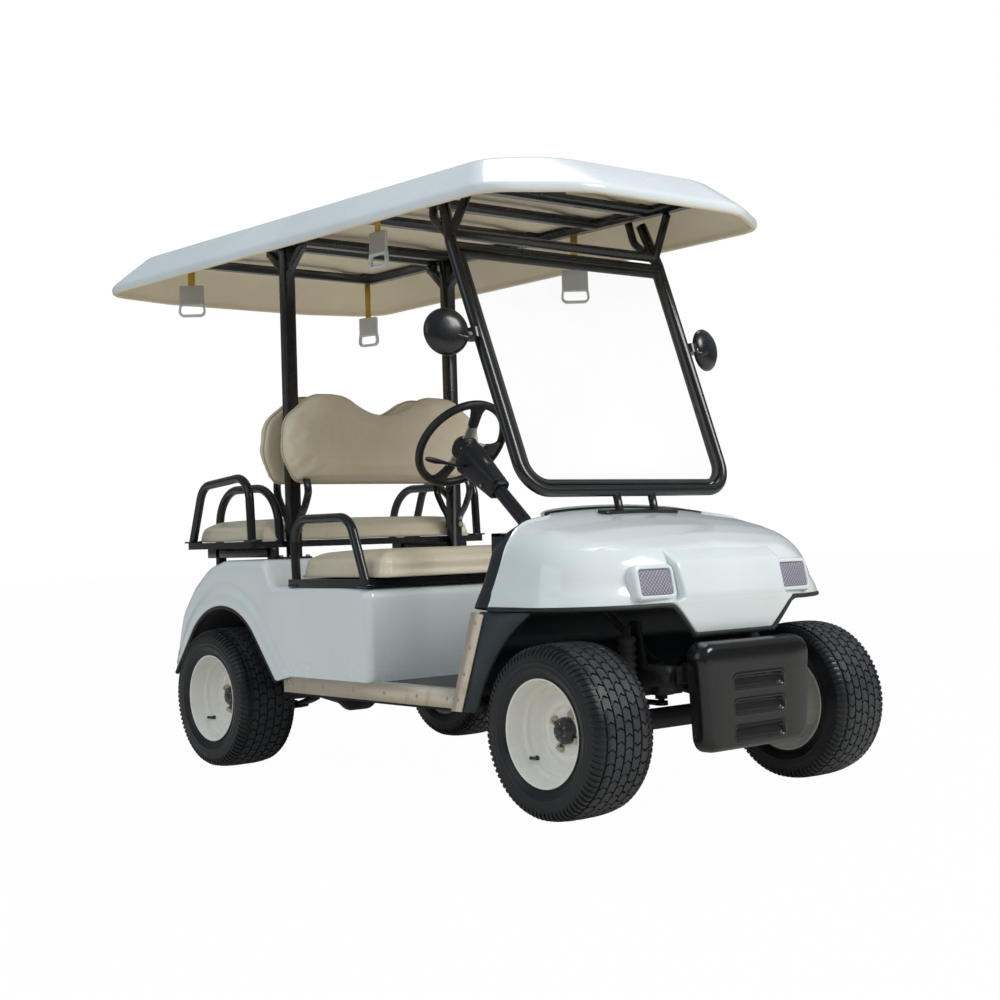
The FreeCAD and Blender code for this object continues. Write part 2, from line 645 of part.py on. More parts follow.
def dashboard():
    """Black dash that closes the back of the cowl, with a raised lip and two open shelves."""
    lip_z = 822
    rear_edge = ((-782, lip_z, 4), (-768, lip_z, 5), (-776, 800, 10), (-800, 740, 40), (-818, 700, 30),
                 (-818, 640, 30), (-780, 560, 10), (-780, liner_top_z, 0), (-840, liner_top_z, 0))
    side_view = slab(hood_rear_edge + rear_edge, "yz", -body_half_width - 15, body_half_width + 15)
    # the dash follows the hood's rear section, a little inside it, up to the lip
    y, foot, side_x, side_z, edge_x, edge_z, crown_z = hood_stations[0]
    gap = 3
    front_y = min(edge[0] for edge in hood_rear_edge)
    left = [Vector(foot - gap, front_y, liner_top_z), Vector(side_x - gap, front_y, side_z)]
    slant = math.hypot(edge_x - side_x, edge_z - side_z) * shoulder_bow
    bulge = Vector((side_x + edge_x) / 2 - gap + slant, front_y, (side_z + edge_z) / 2 + slant)
    edge = Vector(edge_x - gap, front_y, edge_z)
    right = [Vector(-point.x, point.y, point.z) for point in (left[0], left[1], bulge, edge)]
    edges = [Part.LineSegment(right[0], left[0]).toShape(),
             Part.LineSegment(left[0], left[1]).toShape(),
             Part.Arc(left[1], bulge, edge).toShape(),
             Part.Arc(edge, Vector(0, front_y, lip_z), right[3]).toShape(),
             Part.Arc(right[3], right[2], right[1]).toShape(),
             Part.LineSegment(right[1], right[0]).toShape()]
    section = Part.Face(Part.Wire(edges)).extrude(Vector(0, 120, 0))
    body = section.common(side_view)
    hollow = block(-470, 470, -880, -846, 560, 752)
    shelf = block(-470, -330, -838, -760, 690, 750)
    far_shelf = block(60, 470, -838, -760, 690, 750)
    column_hole = rod(tuple(column_base - (steering_centre - column_base) * 0.7), tuple(column_base), 24)
    shaft_hole = rod(tuple(column_joint()), tuple(steering_box_top), 16)
    joint_room = Part.makeSphere(27, column_joint())
    for tool in (hollow, shelf, far_shelf, column_hole, shaft_hole, joint_room):
        body = body.cut(tool)
    return body


def arch_slab(offset, low, high):
    """Rear wheel arch seen from the side, a round top on two straight legs, grown by offset."""
    centre = Vector(0, 562, 262)
    radius = 270 + offset
    reach = radius * math.sqrt(0.5)
    foot = 325 + offset * 1.4
    foot_z = 296
    tops = [centre + Vector(0, side * reach, reach) for side in (-1, 1)]
    feet = [Vector(0, centre.y + side * foot, foot_z) for side in (-1, 1)]
    edges = [Part.LineSegment(feet[0], tops[0]).toShape(),
             Part.Arc(tops[0], centre + Vector(0, 0, radius), tops[1]).toShape(),
             Part.LineSegment(tops[1], feet[1]).toShape(),
             Part.LineSegment(feet[1], feet[0]).toShape()]
    solid = Part.Face(Part.Wire(edges)).extrude(Vector(high - low, 0, 0))
    solid.translate(Vector(low, 0, 0))
    return solid


def body_profile(inset):
    """Side view of the rear body: seat box, step, deck and rounded tail."""
    low = body_bottom_z - (20 if inset else 0)
    return ((seat_box_front_y + inset, low, 0), (seat_box_front_y + inset, seat_box_top_z - inset, 14),
            (272 + inset, seat_box_top_z - inset, 40), (318 + inset, rear_deck_z - inset, 40),
            (600, rear_deck_z - inset, 120), (845 - inset, 560, 240), (900 - inset, low, 0))


def rear_body():
    """One moulded shell: seat box, rear deck, side wings and wheel wells."""
    outer = slab(body_profile(0), "yz", -body_half_width, body_half_width)
    long_edges = [edge for edge in outer.Edges
                  if abs(abs(edge.CenterOfMass.x) - body_half_width) < 1 and edge.CenterOfMass.z > 400]
    outer = outer.makeFillet(16, long_edges)
    inner = slab(body_profile(panel), "yz", panel - body_half_width, body_half_width - panel)
    shell = outer.cut(inner)
    wells = []
    for side in (-1, 1):
        low, high = sorted((side * 352, side * (body_half_width - 2)))
        wells.append(arch_slab(5, low, high).common(outer))
    shell = shell.multiFuse(wells)
    for side in (-1, 1):
        low, high = sorted((side * 358, side * (body_half_width + 20)))
        shell = shell.cut(arch_slab(0, low, high))
    return shell


# Seats ----------------------------------------------------------------------------------------


def hoop(x, feet, tops, radius, bend):
    """Armrest hoop in a side plane; feet and tops are ((y, z), (y, z)), rear pair last."""
    points = ((x,) + feet[0], (x,) + tops[0], (x,) + tops[1], (x,) + feet[1])
    return bent_tube(points, radius, bend)


def ring_frame(half_x, y0, y1, z0, z1, wall):
    """Flat ring of rectangular tube."""
    outer = block(-half_x, half_x, y0, y1, z0, z1)
    return outer.cut(block(-half_x + wall, half_x - wall, y0 + wall, y1 - wall, z0, z1))


def front_seat_frame():
    """Steel ring under the front cushion with a bent armrest hoop at each end."""
    ring = ring_frame(530, -262, 175, seat_box_top_z, 624, 45)
    arm = hoop(515, ((-178, 612), (170, 612)), ((-100, 812), (105, 812)), 14, 62)
    return fused([ring] + both_sides([arm]))


def rear_seat_frame():
    """Steel ring on four legs, with an outer armrest and an inner grab hoop at each end."""
    ring = ring_frame(492, rear_ring_y0, rear_ring_y1, 712, rear_ring_top_z, 42)
    body = slab(body_profile(0), "yz", -body_half_width, body_half_width)
    solids = [ring]
    for side in (-1, 1):
        low, high = sorted((side * 384, side * 414))
        solids.append(block(low, high, rear_ring_y0, rear_ring_y1, 712, rear_ring_top_z))
        for y in (465, 838):
            leg = block(*sorted((side * 384, side * 414)), y - 16, y + 16, 520, 714)
            solids.append(leg.cut(body))
        solids.append(hoop(side * 477, ((461, 735), (856, 735)), ((520, 960), (745, 940)), 14, 55))
        grab = ((side * 386, 458, 735), (side * 386, 470, 924),
                (side * 408, 765, 924), (side * 408, 795, 735))
        solids.append(bent_tube(grab, grab_radius, 105))
    return fused(solids)


def cushion(half_x, y0, y1, z0, z1, corner_radius):
    """Closed form of a seat cushion."""
    body = slab(((-half_x, y0, corner_radius), (half_x, y0, corner_radius),
                 (half_x, y1, corner_radius), (-half_x, y1, corner_radius)), "xy", z0, z1)
    top = [edge for edge in body.Edges if abs(edge.CenterOfMass.z - z1) < 0.5]
    return body.makeFillet(22, top)


def front_seat_cushion():
    """Bench cushion on the front ring."""
    return cushion(494, -300, 165, 625, 712, 60)


def rear_seat_cushion():
    """Bench cushion on the rear ring, with a slot at each leg of the two grab hoops."""
    pad = cushion(430, 452, 896, rear_ring_top_z + 1, 826, 45)
    for side in (-1, 1):
        pad = pad.cut(block(*sorted((side * 370, side * 440)), 440, 488, 740, 830))
        pad = pad.cut(block(*sorted((side * 393, side * 440)), 765, 812, 740, 830))
    return pad


def backrest(y_bottom, y_top, thickness):
    """Padded back with two raised lobes and a dip between them, leaning with its posts."""
    edges_table = ((-355, 940, 45), (355, 940, 45), (416, 1030, 120), (400, 1150, 80), (270, 1236, 120),
                   (120, 1236, 120), (0, 1128, 90), (-120, 1236, 120), (-270, 1236, 120), (-400, 1150, 80),
                   (-416, 1030, 120))
    pad = slab(edges_table, "xz", -thickness / 2, thickness / 2)
    lean = math.degrees(math.atan2(y_top - y_bottom, 290))
    pad.rotate(Vector(0, 0, 940), Vector(1, 0, 0), -lean)
    pad.translate(Vector(0, y_bottom, 0))
    return pad


def front_backrest():
    """Back of the front bench."""
    return backrest(352, 362, 74)


def rear_backrest():
    """Back of the rear bench, which faces backwards."""
    return backrest(506, 496, 74)


def backrest_brackets():
    """Curved straps from the posts to the foot of each back, with a block behind each back."""
    solids = []
    half = upright_size / 2
    # direction from the post, y of the straight part, foot z, bend z, y under the back, block from, block to
    table = ((-1, 394, 770, 822, 345, 395.2, 406), (1, 456, 836, 850, 506, 444, 462.8))
    for side in (-1, 1):
        x = side * upright_x
        for direction, y, foot_z, bend_z, back_y, block_from, block_to in table:
            points = ((x, y, foot_z), (x, y, bend_z), (x, back_y, bend_z + 48), (x, back_y, 936))
            strap = bent_tube(points, 11, 40)
            face = upright_y + direction * half
            clamp = block(x - 22, x + 22, *sorted((face, face + direction * 14)), foot_z, foot_z + 18)
            solids.append(strap.fuse(clamp))
            solids.append(block(x - 25, x + 25, block_from, block_to, 1060, 1100))
    return solids


# Upper structure ------------------------------------------------------------------------------


def tilted(shape):
    """Roof piece leaned so that its front edge is a little higher than its rear edge."""
    shape.rotate(Vector(0, roof_pivot_y, roof_rail_z), Vector(1, 0, 0), -roof_tilt)
    return shape


def frame_underside(y):
    """Height of the roof frame's underside at this distance along the cart."""
    return roof_rail_z - roof_tube / 2 - (y - roof_pivot_y) * math.tan(math.radians(roof_tilt))


def rear_uprights():
    """Square posts from the deck to the roof, each with a foot plate and a forked top."""
    solids = []
    half = upright_size / 2
    top = frame_underside(upright_y + half)
    fork_z = 1636
    fork_spread = 88
    for side in (-1, 1):
        x = side * upright_x
        post = block(x - half, x + half, upright_y - half, upright_y + half, rear_deck_z, top)
        foot = block(x - 42, x + 42, upright_y - 42, upright_y + 42, rear_deck_z, rear_deck_z + 6)
        solids.extend([post, foot])
        for direction in (-1, 1):
            tip = upright_y + direction * fork_spread
            solids.append(square_bar((x, upright_y, fork_z), (x, tip, fork_z + 80), 26, 26))
            solids.append(block(x - 13, x + 13, tip - 16, tip + 16, fork_z + 70, frame_underside(tip + 16)))
        reach = sorted((side * (upright_x - half), side * (roof_rail_x + 14)))
        solids.append(block(*reach, upright_y - 13, upright_y + 13, top - 26, top))
    left = fused(solids[:len(solids) // 2])
    right = fused(solids[len(solids) // 2:])
    return [left, right]


def windshield_frame():
    """Tube hoop that leans back, with its top bars, forked pillar heads and two foot posts."""
    bottom_x, bottom_y, bottom_z = screen_bottom
    top_x, top_y, top_z = screen_top
    lean = (top_y - bottom_y) / (top_z - bottom_z)
    head_z = 1720
    head_y = top_y + (head_z - top_z) * lean
    head_x = top_x - 18
    points = ((-head_x, head_y, head_z), (-top_x, top_y, top_z), (-bottom_x, bottom_y, bottom_z),
              (bottom_x, bottom_y, bottom_z), (top_x, top_y, top_z), (head_x, head_y, head_z))
    hoop_tube = bent_tube(points, screen_tube, 88)
    solids = [hoop_tube]
    for z in (1572, 1612):
        y = top_y + (z - top_z) * lean
        solids.append(rod((-top_x + 4, y, z), (top_x - 4, y, z), 15))
    for side in (-1, 1):
        x = side * (top_x - 6)
        solids.append(rod((x, top_y + 8, 1606), (side * roof_rail_x, top_y - 70, roof_rail_z - 15), 13))
        solids.append(bent_tube(((x, top_y + 10, 1600), (side * (top_x - 12), top_y + 95, 1670),
                                 (side * roof_rail_x, top_y + 105, roof_rail_z - 16)), 13, 40))
        solids.append(rod((side * 70, -871, 785), (side * 70, bottom_y - 2, bottom_z), 12))
    plate = slab(((-150, -20, 14), (150, -20, 14), (150, 20, 14), (-150, 20, 14)), "xy", -6, 5)
    plate.rotate(Vector(0, 0, 0), Vector(1, 0, 0), hood_slope)
    plate.translate(Vector(0, -872, 797))
    solids.append(plate)
    hood = hood_solid(0, 0, 0, cowl_edge_z)
    above_rails = tilted(block(-460, 460, -900, -300, roof_rail_z - roof_tube / 2, roof_rail_z + 40))
    return fused(solids).cut(hood).cut(above_rails)


def screen_plane(x, along):
    """Point on the screen at distance along up the pillar from the bottom tube."""
    bottom = Vector(*screen_bottom)
    top = Vector(*screen_top)
    share = along / (top - bottom).Length
    point = bottom + (top - bottom) * share
    return Vector(x, point.y, point.z)


def screen_sheet(inset_side, inset_bottom, inset_top, thickness, bend):
    """Flat sheet in the plane of the hoop with rounded lower corners."""
    bottom = Vector(*screen_bottom)
    top = Vector(*screen_top)
    length = (top - bottom).Length
    low = screen_plane(0, inset_bottom)
    high = screen_plane(0, length - inset_top)
    half_low = bottom.x - inset_side
    half_high = top.x - inset_side
    points = [Vector(-half_high, high.y, high.z), Vector(-half_low, low.y, low.z),
              Vector(half_low, low.y, low.z), Vector(half_high, high.y, high.z)]
    wire = Part.Wire(rounded_edges(points, [4, bend, bend, 4], True))
    normal = (high - low).cross(Vector(1, 0, 0)).normalize()
    sheet = Part.Face(wire).extrude(normal * thickness)
    sheet.translate(normal * (-thickness / 2))
    return sheet


def windshield_seal():
    """Rubber channel that holds the clear screen inside the hoop."""
    return screen_sheet(18, 18, 28, 16, 72).cut(screen_sheet(32, 32, 42, 18, 58))


def windshield_pane():
    """Clear acrylic screen, sunk a little way into its rubber channel."""
    return screen_sheet(32.2, 32.2, 42.2, 5, 58)


def roof_frame():
    """Two long rails and seven crossbars of square tube, with pads that the canopy sits on."""
    half = roof_tube / 2
    low = roof_rail_z - half
    high = roof_rail_z + half
    solids = both_sides([block(roof_rail_x - half, roof_rail_x + half, -770, 990, low, high)])
    for y in (-755, -560, -315, -15, 415, 515, 975):
        solids.append(block(-roof_rail_x, roof_rail_x, y - half, y + half, low, high))
    hollow = roof_solid(roof_shell)
    for y in (-560, -15, 515, 960):
        for x in (-370, 0, 370):
            solids.append(block(x - 25, x + 25, y - half, y + half, high, high + 40).common(hollow))
    return tilted(fused(solids))


def roof_outline(side_rear, side_front, rear, front, inset, z):
    """Closed plan of the roof with bowed ends; rear and front give (corner y, middle y, middle x)."""
    near_radius = 130
    bow_radius = 400
    corners = []
    for half, ends, towards in ((side_rear, rear, -1), (side_front, front, 1)):
        corner_y, middle_y, middle_x = ends
        wing = (half - inset, corner_y + towards * inset, near_radius)
        bow = (middle_x, middle_y + towards * inset, bow_radius)
        mirrored_pair = [(-bow[0], bow[1], bow[2]), (-wing[0], wing[1], wing[2])]
        run = [wing, bow] + mirrored_pair
        corners.extend(run if towards == 1 else run[::-1])
    return outline(corners, "xy", z)


def roof_solid(inset):
    """Roof pan: rolled lip, sloping sides up to a narrower crease, and a crowned top."""
    lip = inset * 2.5
    crease_z = roof_crease_z - inset
    foot = roof_outline(598, 544, (1230, 1308, 300), (-880, -1030, 300), lip, roof_lip_z)
    roll = roof_outline(606, 552, (1237, 1315, 300), (-887, -1037, 300), inset, roof_lip_z + 13)
    side = roof_outline(599, 545, (1230, 1308, 300), (-880, -1030, 300), inset, roof_lip_z + 25)
    crease = roof_outline(506, 452, (1125, 1200, 250), (-765, -890, 220), inset, crease_z)
    levels = [foot, roll, side, crease]
    bands = [Part.makeLoft([low, high], True, True) for low, high in zip(levels, levels[1:])]
    crown_radius = 506 ** 2 / (2 * roof_crown)
    drum = Part.makeCylinder(crown_radius, 2600, Vector(0, -1150, crease_z + roof_crown - crown_radius),
                             Vector(0, 1, 0))
    cap = Part.Face(crease).extrude(Vector(0, 0, roof_crown + 5)).common(drum)
    return bands[0].multiFuse(bands[1:] + [cap])


def roof_canopy():
    """Moulded roof shell with a rolled lip, sloping sides, a crowned top and an open underside."""
    return tilted(roof_solid(0).cut(roof_solid(roof_shell)))


def mirrors():
    """Round mirror heads on short arms clamped to the screen pillars."""
    solids = []
    for side in (-1, 1):
        head_profile = ((-14, 0, 0), (-14, 50, 0), (-6, 74, 6), (12, 75, 5), (16, 70, 0), (16, 0, 0))
        head = turned(head_profile, (0, 0, 0))
        turn = FreeCAD.Rotation(Vector(1, 0, 0), Vector(-side * 0.25, 0.95, -0.1))
        head.Placement = FreeCAD.Placement(Vector(side * 522, -673, 1311), turn)
        arm = bent_tube(((side * 436, -679, 1306), (side * 470, -700, 1290), (side * 512, -684, 1303)), 7, 18)
        solids.append(fused([head, arm]))
    return solids


# x and y where the webbing hangs, its drop, and how far the handle has turned from facing forwards
strap_table = ((-395, -180, 60, -91), (-392, 975, 65, -38), (376, 975, 131, -76), (395, -200, 116, -38))


def strap_webbing():
    """Yellow webbing under the roof frame at each grab handle."""
    solids = []
    for x, y, drop, turn in strap_table:
        top = frame_underside(y) - 1
        strap = block(-12, 12, -2, 2, top - drop, top)
        strap.rotate(Vector(0, 0, 0), Vector(0, 0, 1), turn)
        strap.translate(Vector(x, y, 0))
        solids.append(strap)
    return solids


def strap_handles():
    """Moulded grab handle, a plate over a rounded hand ring, under each webbing loop."""
    solids = []
    for x, y, drop, turn in strap_table:
        top = frame_underside(y) - 1 - drop
        plate = slab(((-44, top, 6), (44, top, 6), (44, top - 74, 2), (-44, top - 74, 2)), "xz", -4, 4)
        ring_outline = ((-44, top - 64, 4), (44, top - 64, 4), (50, top - 112, 20), (-50, top - 112, 20))
        slot_outline = ((-38, top - 72, 6), (38, top - 72, 6), (42, top - 103, 12), (-42, top - 103, 12))
        ring = slab(ring_outline, "xz", -6, 6)
        slot = slab(slot_outline, "xz", -7, 7)
        handle = plate.fuse(ring).cut(slot)
        handle.rotate(Vector(0, 0, 0), Vector(0, 0, 1), turn)
        handle.translate(Vector(x, y, 0))
        solids.append(handle)
    return solids


# Assembly -------------------------------------------------------------------------------------

os.makedirs(parts_folder, exist_ok=True)

for build in (chassis_rails, chassis_crossmembers, floor_pan, sill_trim, battery_pack, front_axle,
              front_suspension, tie_rod, pitman_arm, steering_column, steering_wheel, pedals, rear_axle,
              drive_motor, rear_suspension, front_cowl, edge_trim, headlamps, front_bumper, front_liner,
              dashboard, rear_body,
              front_seat_frame, rear_seat_frame, front_seat_cushion, rear_seat_cushion, front_backrest,
              rear_backrest, backrest_brackets, rear_uprights, windshield_frame, windshield_seal,
              windshield_pane, roof_frame, roof_canopy, mirrors, strap_webbing, strap_handles):
    save(build.__name__, build())

for side, side_name in ((1, "left"), (-1, "right")):
    save("knuckle_" + side_name, knuckle(side))
    for end_name, track, y in (("front", front_track, front_axle_y), ("rear", rear_track, rear_axle_y)):
        centre = (side * track / 2, y, tyre_radius)
        save("tyre_" + end_name + "_" + side_name, tyre(centre))
        save("rim_" + end_name + "_" + side_name, wheel_rim(side, centre))
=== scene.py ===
"""Looks of a four-seat golf cart: panels, tubes, seats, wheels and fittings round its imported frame.

Lengths are metres. +Z is up, the cart drives towards -Y and +X is its left side. Each sub-assembly is
a class that holds its sizes and builds its own pieces; each finish is a small frozen class.
"""

import json
import logging
import math
from dataclasses import dataclass
from enum import Enum
from typing import Any, Iterable, Sequence

import bmesh
import bpy
from mathutils import Matrix, Vector

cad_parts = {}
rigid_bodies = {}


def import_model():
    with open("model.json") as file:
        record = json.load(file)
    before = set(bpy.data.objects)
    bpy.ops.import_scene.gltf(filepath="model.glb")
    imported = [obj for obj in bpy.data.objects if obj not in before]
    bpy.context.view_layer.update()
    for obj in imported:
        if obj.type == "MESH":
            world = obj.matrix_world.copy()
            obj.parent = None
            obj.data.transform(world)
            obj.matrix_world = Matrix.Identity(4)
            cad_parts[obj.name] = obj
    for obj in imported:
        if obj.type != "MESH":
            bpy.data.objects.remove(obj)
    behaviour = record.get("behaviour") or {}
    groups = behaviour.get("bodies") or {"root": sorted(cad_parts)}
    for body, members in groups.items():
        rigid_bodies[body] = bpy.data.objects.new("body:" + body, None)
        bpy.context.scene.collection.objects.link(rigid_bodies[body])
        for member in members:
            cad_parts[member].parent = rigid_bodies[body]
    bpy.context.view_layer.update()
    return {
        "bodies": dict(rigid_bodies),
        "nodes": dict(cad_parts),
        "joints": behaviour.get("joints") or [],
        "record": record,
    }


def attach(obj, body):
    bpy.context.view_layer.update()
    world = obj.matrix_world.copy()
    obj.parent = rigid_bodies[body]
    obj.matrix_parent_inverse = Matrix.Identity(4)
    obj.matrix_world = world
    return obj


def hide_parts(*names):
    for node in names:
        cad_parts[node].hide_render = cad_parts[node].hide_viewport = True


LOG = logging.getLogger("golf_cart")

Colour = tuple[float, float, float]
Point = tuple[float, float, float]
Flat = tuple[float, float]

# wheels: y of the two axles, their height, and half of each track
FRONT_AXLE_Y, REAR_AXLE_Y, HUB_Z = -1.065, 0.585, 0.23
FRONT_HALF_TRACK, REAR_HALF_TRACK = 0.47, 0.485


class Side(Enum):
    """The two sides of the cart; the value is the sign of X."""

    LEFT = 1
    RIGHT = -1


class End(Enum):
    """The two ends of the cart."""

    FRONT = "front"
    REAR = "rear"


class Head(Enum):
    """Shapes of a fastener's head."""

    HEX = "hex"
    DOME = "dome"
    PAN = "pan"


# Shader writing ---------------------------------------------------------------------------------


class Value:
    """One output socket, which takes part in arithmetic and adds a Math node for each step."""

    def __init__(self, graph: "Graph", socket: bpy.types.NodeSocket) -> None:
        """Keep the socket and the graph that it belongs to."""
        self.graph = graph
        self.socket = socket

    def _math(self, operation: str, *terms: Any) -> "Value":
        """Add one Math node.

        Args:
            operation: name of the Math operation.
            terms: its inputs, numbers or values.

        Returns:
            The result of the operation.
        """
        return self.graph.node("ShaderNodeMath", {"operation": operation}, dict(enumerate(terms)))

    def __add__(self, other: Any) -> "Value":
        """Sum."""
        return self._math("ADD", self, other)

    def __radd__(self, other: Any) -> "Value":
        """Sum with a number on the left."""
        return self._math("ADD", other, self)

    def __sub__(self, other: Any) -> "Value":
        """Difference."""
        return self._math("SUBTRACT", self, other)

    def __rsub__(self, other: Any) -> "Value":
        """Difference from a number on the left."""
        return self._math("SUBTRACT", other, self)

    def __mul__(self, other: Any) -> "Value":
        """Product."""
        return self._math("MULTIPLY", self, other)

    def __rmul__(self, other: Any) -> "Value":
        """Product with a number on the left."""
        return self._math("MULTIPLY", other, self)

    def sine(self) -> "Value":
        """Sine of the value."""
        return self._math("SINE", self)

    def lower(self, other: Any) -> "Value":
        """The lower of two values."""
        return self._math("MINIMUM", self, other)

    def ramp(self, low: float, high: float) -> "Value":
        """Smooth step.

        Args:
            low: value that becomes 0.
            high: value that becomes 1.

        Returns:
            A value between 0 and 1.
        """
        settings = {"interpolation_type": "SMOOTHSTEP"}
        return self.graph.node("ShaderNodeMapRange", settings, {"Value": self, "From Min": low, "From Max": high})


class Graph:
    """Node tree of one material or world."""

    def __init__(self, owner: bpy.types.ID) -> None:
        """Empty the owner's tree."""
        self.material = owner
        owner.use_nodes = True
        self.tree = owner.node_tree
        self.tree.nodes.clear()

    def node(self, kind: str, settings: dict[str, Any] | None = None,
             sockets: dict[str | int, Any] | None = None, output: str | int = 0) -> Value:
        """Add one node.

        Args:
            kind: Blender's type name of the node.
            settings: properties set before the sockets; "stops" holds a ramp's (place, colour) pairs.
            sockets: numbers, colours or values by input name or place.
            output: name or place of the output to return.

        Returns:
            The chosen output.
        """
        node = self.tree.nodes.new(kind)
        for name, setting in (settings or {}).items():
            if name == "stops":
                self._set_stops(node.color_ramp, setting)
            else:
                setattr(node, name, setting)
        for name, entry in (sockets or {}).items():
            if isinstance(entry, Value):
                self.tree.links.new(entry.socket, node.inputs[name])
            else:
                node.inputs[name].default_value = entry
        return Value(self, node.outputs[output] if len(node.outputs) else None)

    @staticmethod
    def _set_stops(ramp: bpy.types.ColorRamp, stops: Sequence[tuple[float, Colour]]) -> None:
        """Give a colour ramp these stops.

        Args:
            ramp: ramp with Blender's two first stops.
            stops: place and colour of each stop, in order.
        """
        while len(ramp.elements) < len(stops):
            ramp.elements.new(0.5)
        for element, (place, colour) in zip(ramp.elements, stops):
            element.position = place
            element.color = (*colour, 1.0)

    def place(self) -> Value:
        """Position on the piece in metres."""
        return self.node("ShaderNodeTexCoord", output="Object")

    def axes(self) -> tuple[Value, Value, Value]:
        """Position on the piece as three numbers."""
        split = self.node("ShaderNodeSeparateXYZ", sockets={0: self.place()})
        return tuple(Value(self, split.socket.node.outputs[index]) for index in range(3))

    def noise(self, scale: float, detail: float = 4.0, roughness: float = 0.55) -> Value:
        """Soft noise.

        Args:
            scale: cells per metre.
            detail: octaves.
            roughness: weight of the finer octaves.

        Returns:
            A value about 0.5.
        """
        sockets = {"Vector": self.place(), "Scale": scale, "Detail": detail, "Roughness": roughness}
        return self.node("ShaderNodeTexNoise", sockets=sockets)

    def cells(self, scale: float, feature: str = "DISTANCE_TO_EDGE") -> Value:
        """Cell pattern.

        Args:
            scale: cells per metre.
            feature: what is measured in each cell.

        Returns:
            The distance.
        """
        return self.node("ShaderNodeTexVoronoi", {"feature": feature}, {"Vector": self.place(), "Scale": scale})

    def blend(self, factor: Any, first: Any, second: Any) -> Value:
        """Mix of two colours.

        Args:
            factor: share of the second colour.
            first: colour or value.
            second: colour or value.

        Returns:
            The mixed colour.
        """
        first = (*first, 1.0) if isinstance(first, tuple) else first
        second = (*second, 1.0) if isinstance(second, tuple) else second
        return self.node("ShaderNodeMix", {"data_type": "RGBA"}, {0: factor, 6: first, 7: second}, 2)

    def bump(self, height: Value, depth: float, below: Value | None = None) -> Value:
        """Relief.

        Args:
            height: height from 0 to 1.
            depth: metres that a height of 1 stands up.
            below: relief that this one lies on.

        Returns:
            A normal.
        """
        sockets = {"Height": height, "Distance": depth, "Strength": 1.0}
        if below is not None:
            sockets["Normal"] = below
        return self.node("ShaderNodeBump", sockets=sockets)

    def surface(self, sockets: dict[str, Any]) -> bpy.types.Material:
        """Close the graph with one principled surface.

        Args:
            sockets: inputs of the surface; a bare colour gets its fourth number here.

        Returns:
            The finished material.
        """
        filled = {name: (*entry, 1.0) if isinstance(entry, tuple) and len(entry) == 3 else entry
                  for name, entry in sockets.items()}
        shader = self.node("ShaderNodeBsdfPrincipled", sockets=filled)
        self.node("ShaderNodeOutputMaterial", sockets={"Surface": shader})
        return self.material


# Finishes ---------------------------------------------------------------------------------------


@dataclass(frozen=True)
class Finish:
    """A finish by name; each kind says how its surface is made."""

    name: str
    colour: Colour

    def material(self) -> bpy.types.Material:
        """The finish as a material, made once."""
        found = bpy.data.materials.get(self.name)
        return found or self.make(Graph(bpy.data.materials.new(self.name)))

    def make(self, graph: Graph) -> bpy.types.Material:
        """Draw the surface on an empty graph."""
        raise NotImplementedError


def shaded(colour: Colour, *factors: float) -> Colour:
    """Colour times one factor, or times one for each channel."""
    return tuple(channel * factor for channel, factor in zip(colour, factors * (3 // len(factors))))


@dataclass(frozen=True)
class GlossPanel(Finish):
    """Moulded panel with a clear gloss: faint orange peel, hazy patches and road dust low down."""

    roughness: float = 0.16
    coat: float = 0.7
    dust: Colour = (0.52, 0.48, 0.42)
    dust_top: float = 0.34

    def make(self, graph: Graph) -> bpy.types.Material:
        """Draw the panel."""
        patches = graph.noise(2.6, 3.0)
        height = graph.axes()[2]
        low = 1.0 - height.ramp(self.dust_top - 0.1, self.dust_top + 0.16)
        specks = graph.noise(90.0, 5.0).ramp(0.46, 0.72)
        clean = graph.blend(patches.ramp(0.3, 0.75), self.colour, shaded(self.colour, 0.93))
        colour = graph.blend(low * specks * 0.3, clean, self.dust)
        scuffs = graph.noise(14.0, 8.0, 0.7).ramp(0.5, 0.8)
        return graph.surface({
            "Base Color": colour,
            "Roughness": self.roughness + scuffs * 0.1 + low * 0.12,
            "Normal": graph.bump(graph.noise(55.0, 2.0), 0.00012),
            "Coat Weight": self.coat,
            "Coat Roughness": 0.05,
        })


@dataclass(frozen=True)
class Moulding(Finish):
    """Grained plastic or powder coat: pebbled relief, paler where it is rubbed."""

    roughness: float = 0.5
    grain: float = 700.0
    depth: float = 0.0001
    rubbed: Colour = (0.12, 0.12, 0.13)
    wear: float = 0.25
    coat: float = 0.0

    def make(self, graph: Graph) -> bpy.types.Material:
        """Draw the moulding."""
        worn = graph.noise(7.0, 8.0, 0.68).ramp(0.52, 0.82)
        relief = graph.bump(graph.cells(self.grain, "F1"), self.depth)
        return graph.surface({
            "Base Color": graph.blend(worn * self.wear, self.colour, self.rubbed),
            "Roughness": self.roughness + worn * 0.15,
            "Normal": graph.bump(graph.noise(40.0, 3.0), self.depth * 1.5, relief),
            "Coat Weight": self.coat,
            "Coat Roughness": 0.12,
        })


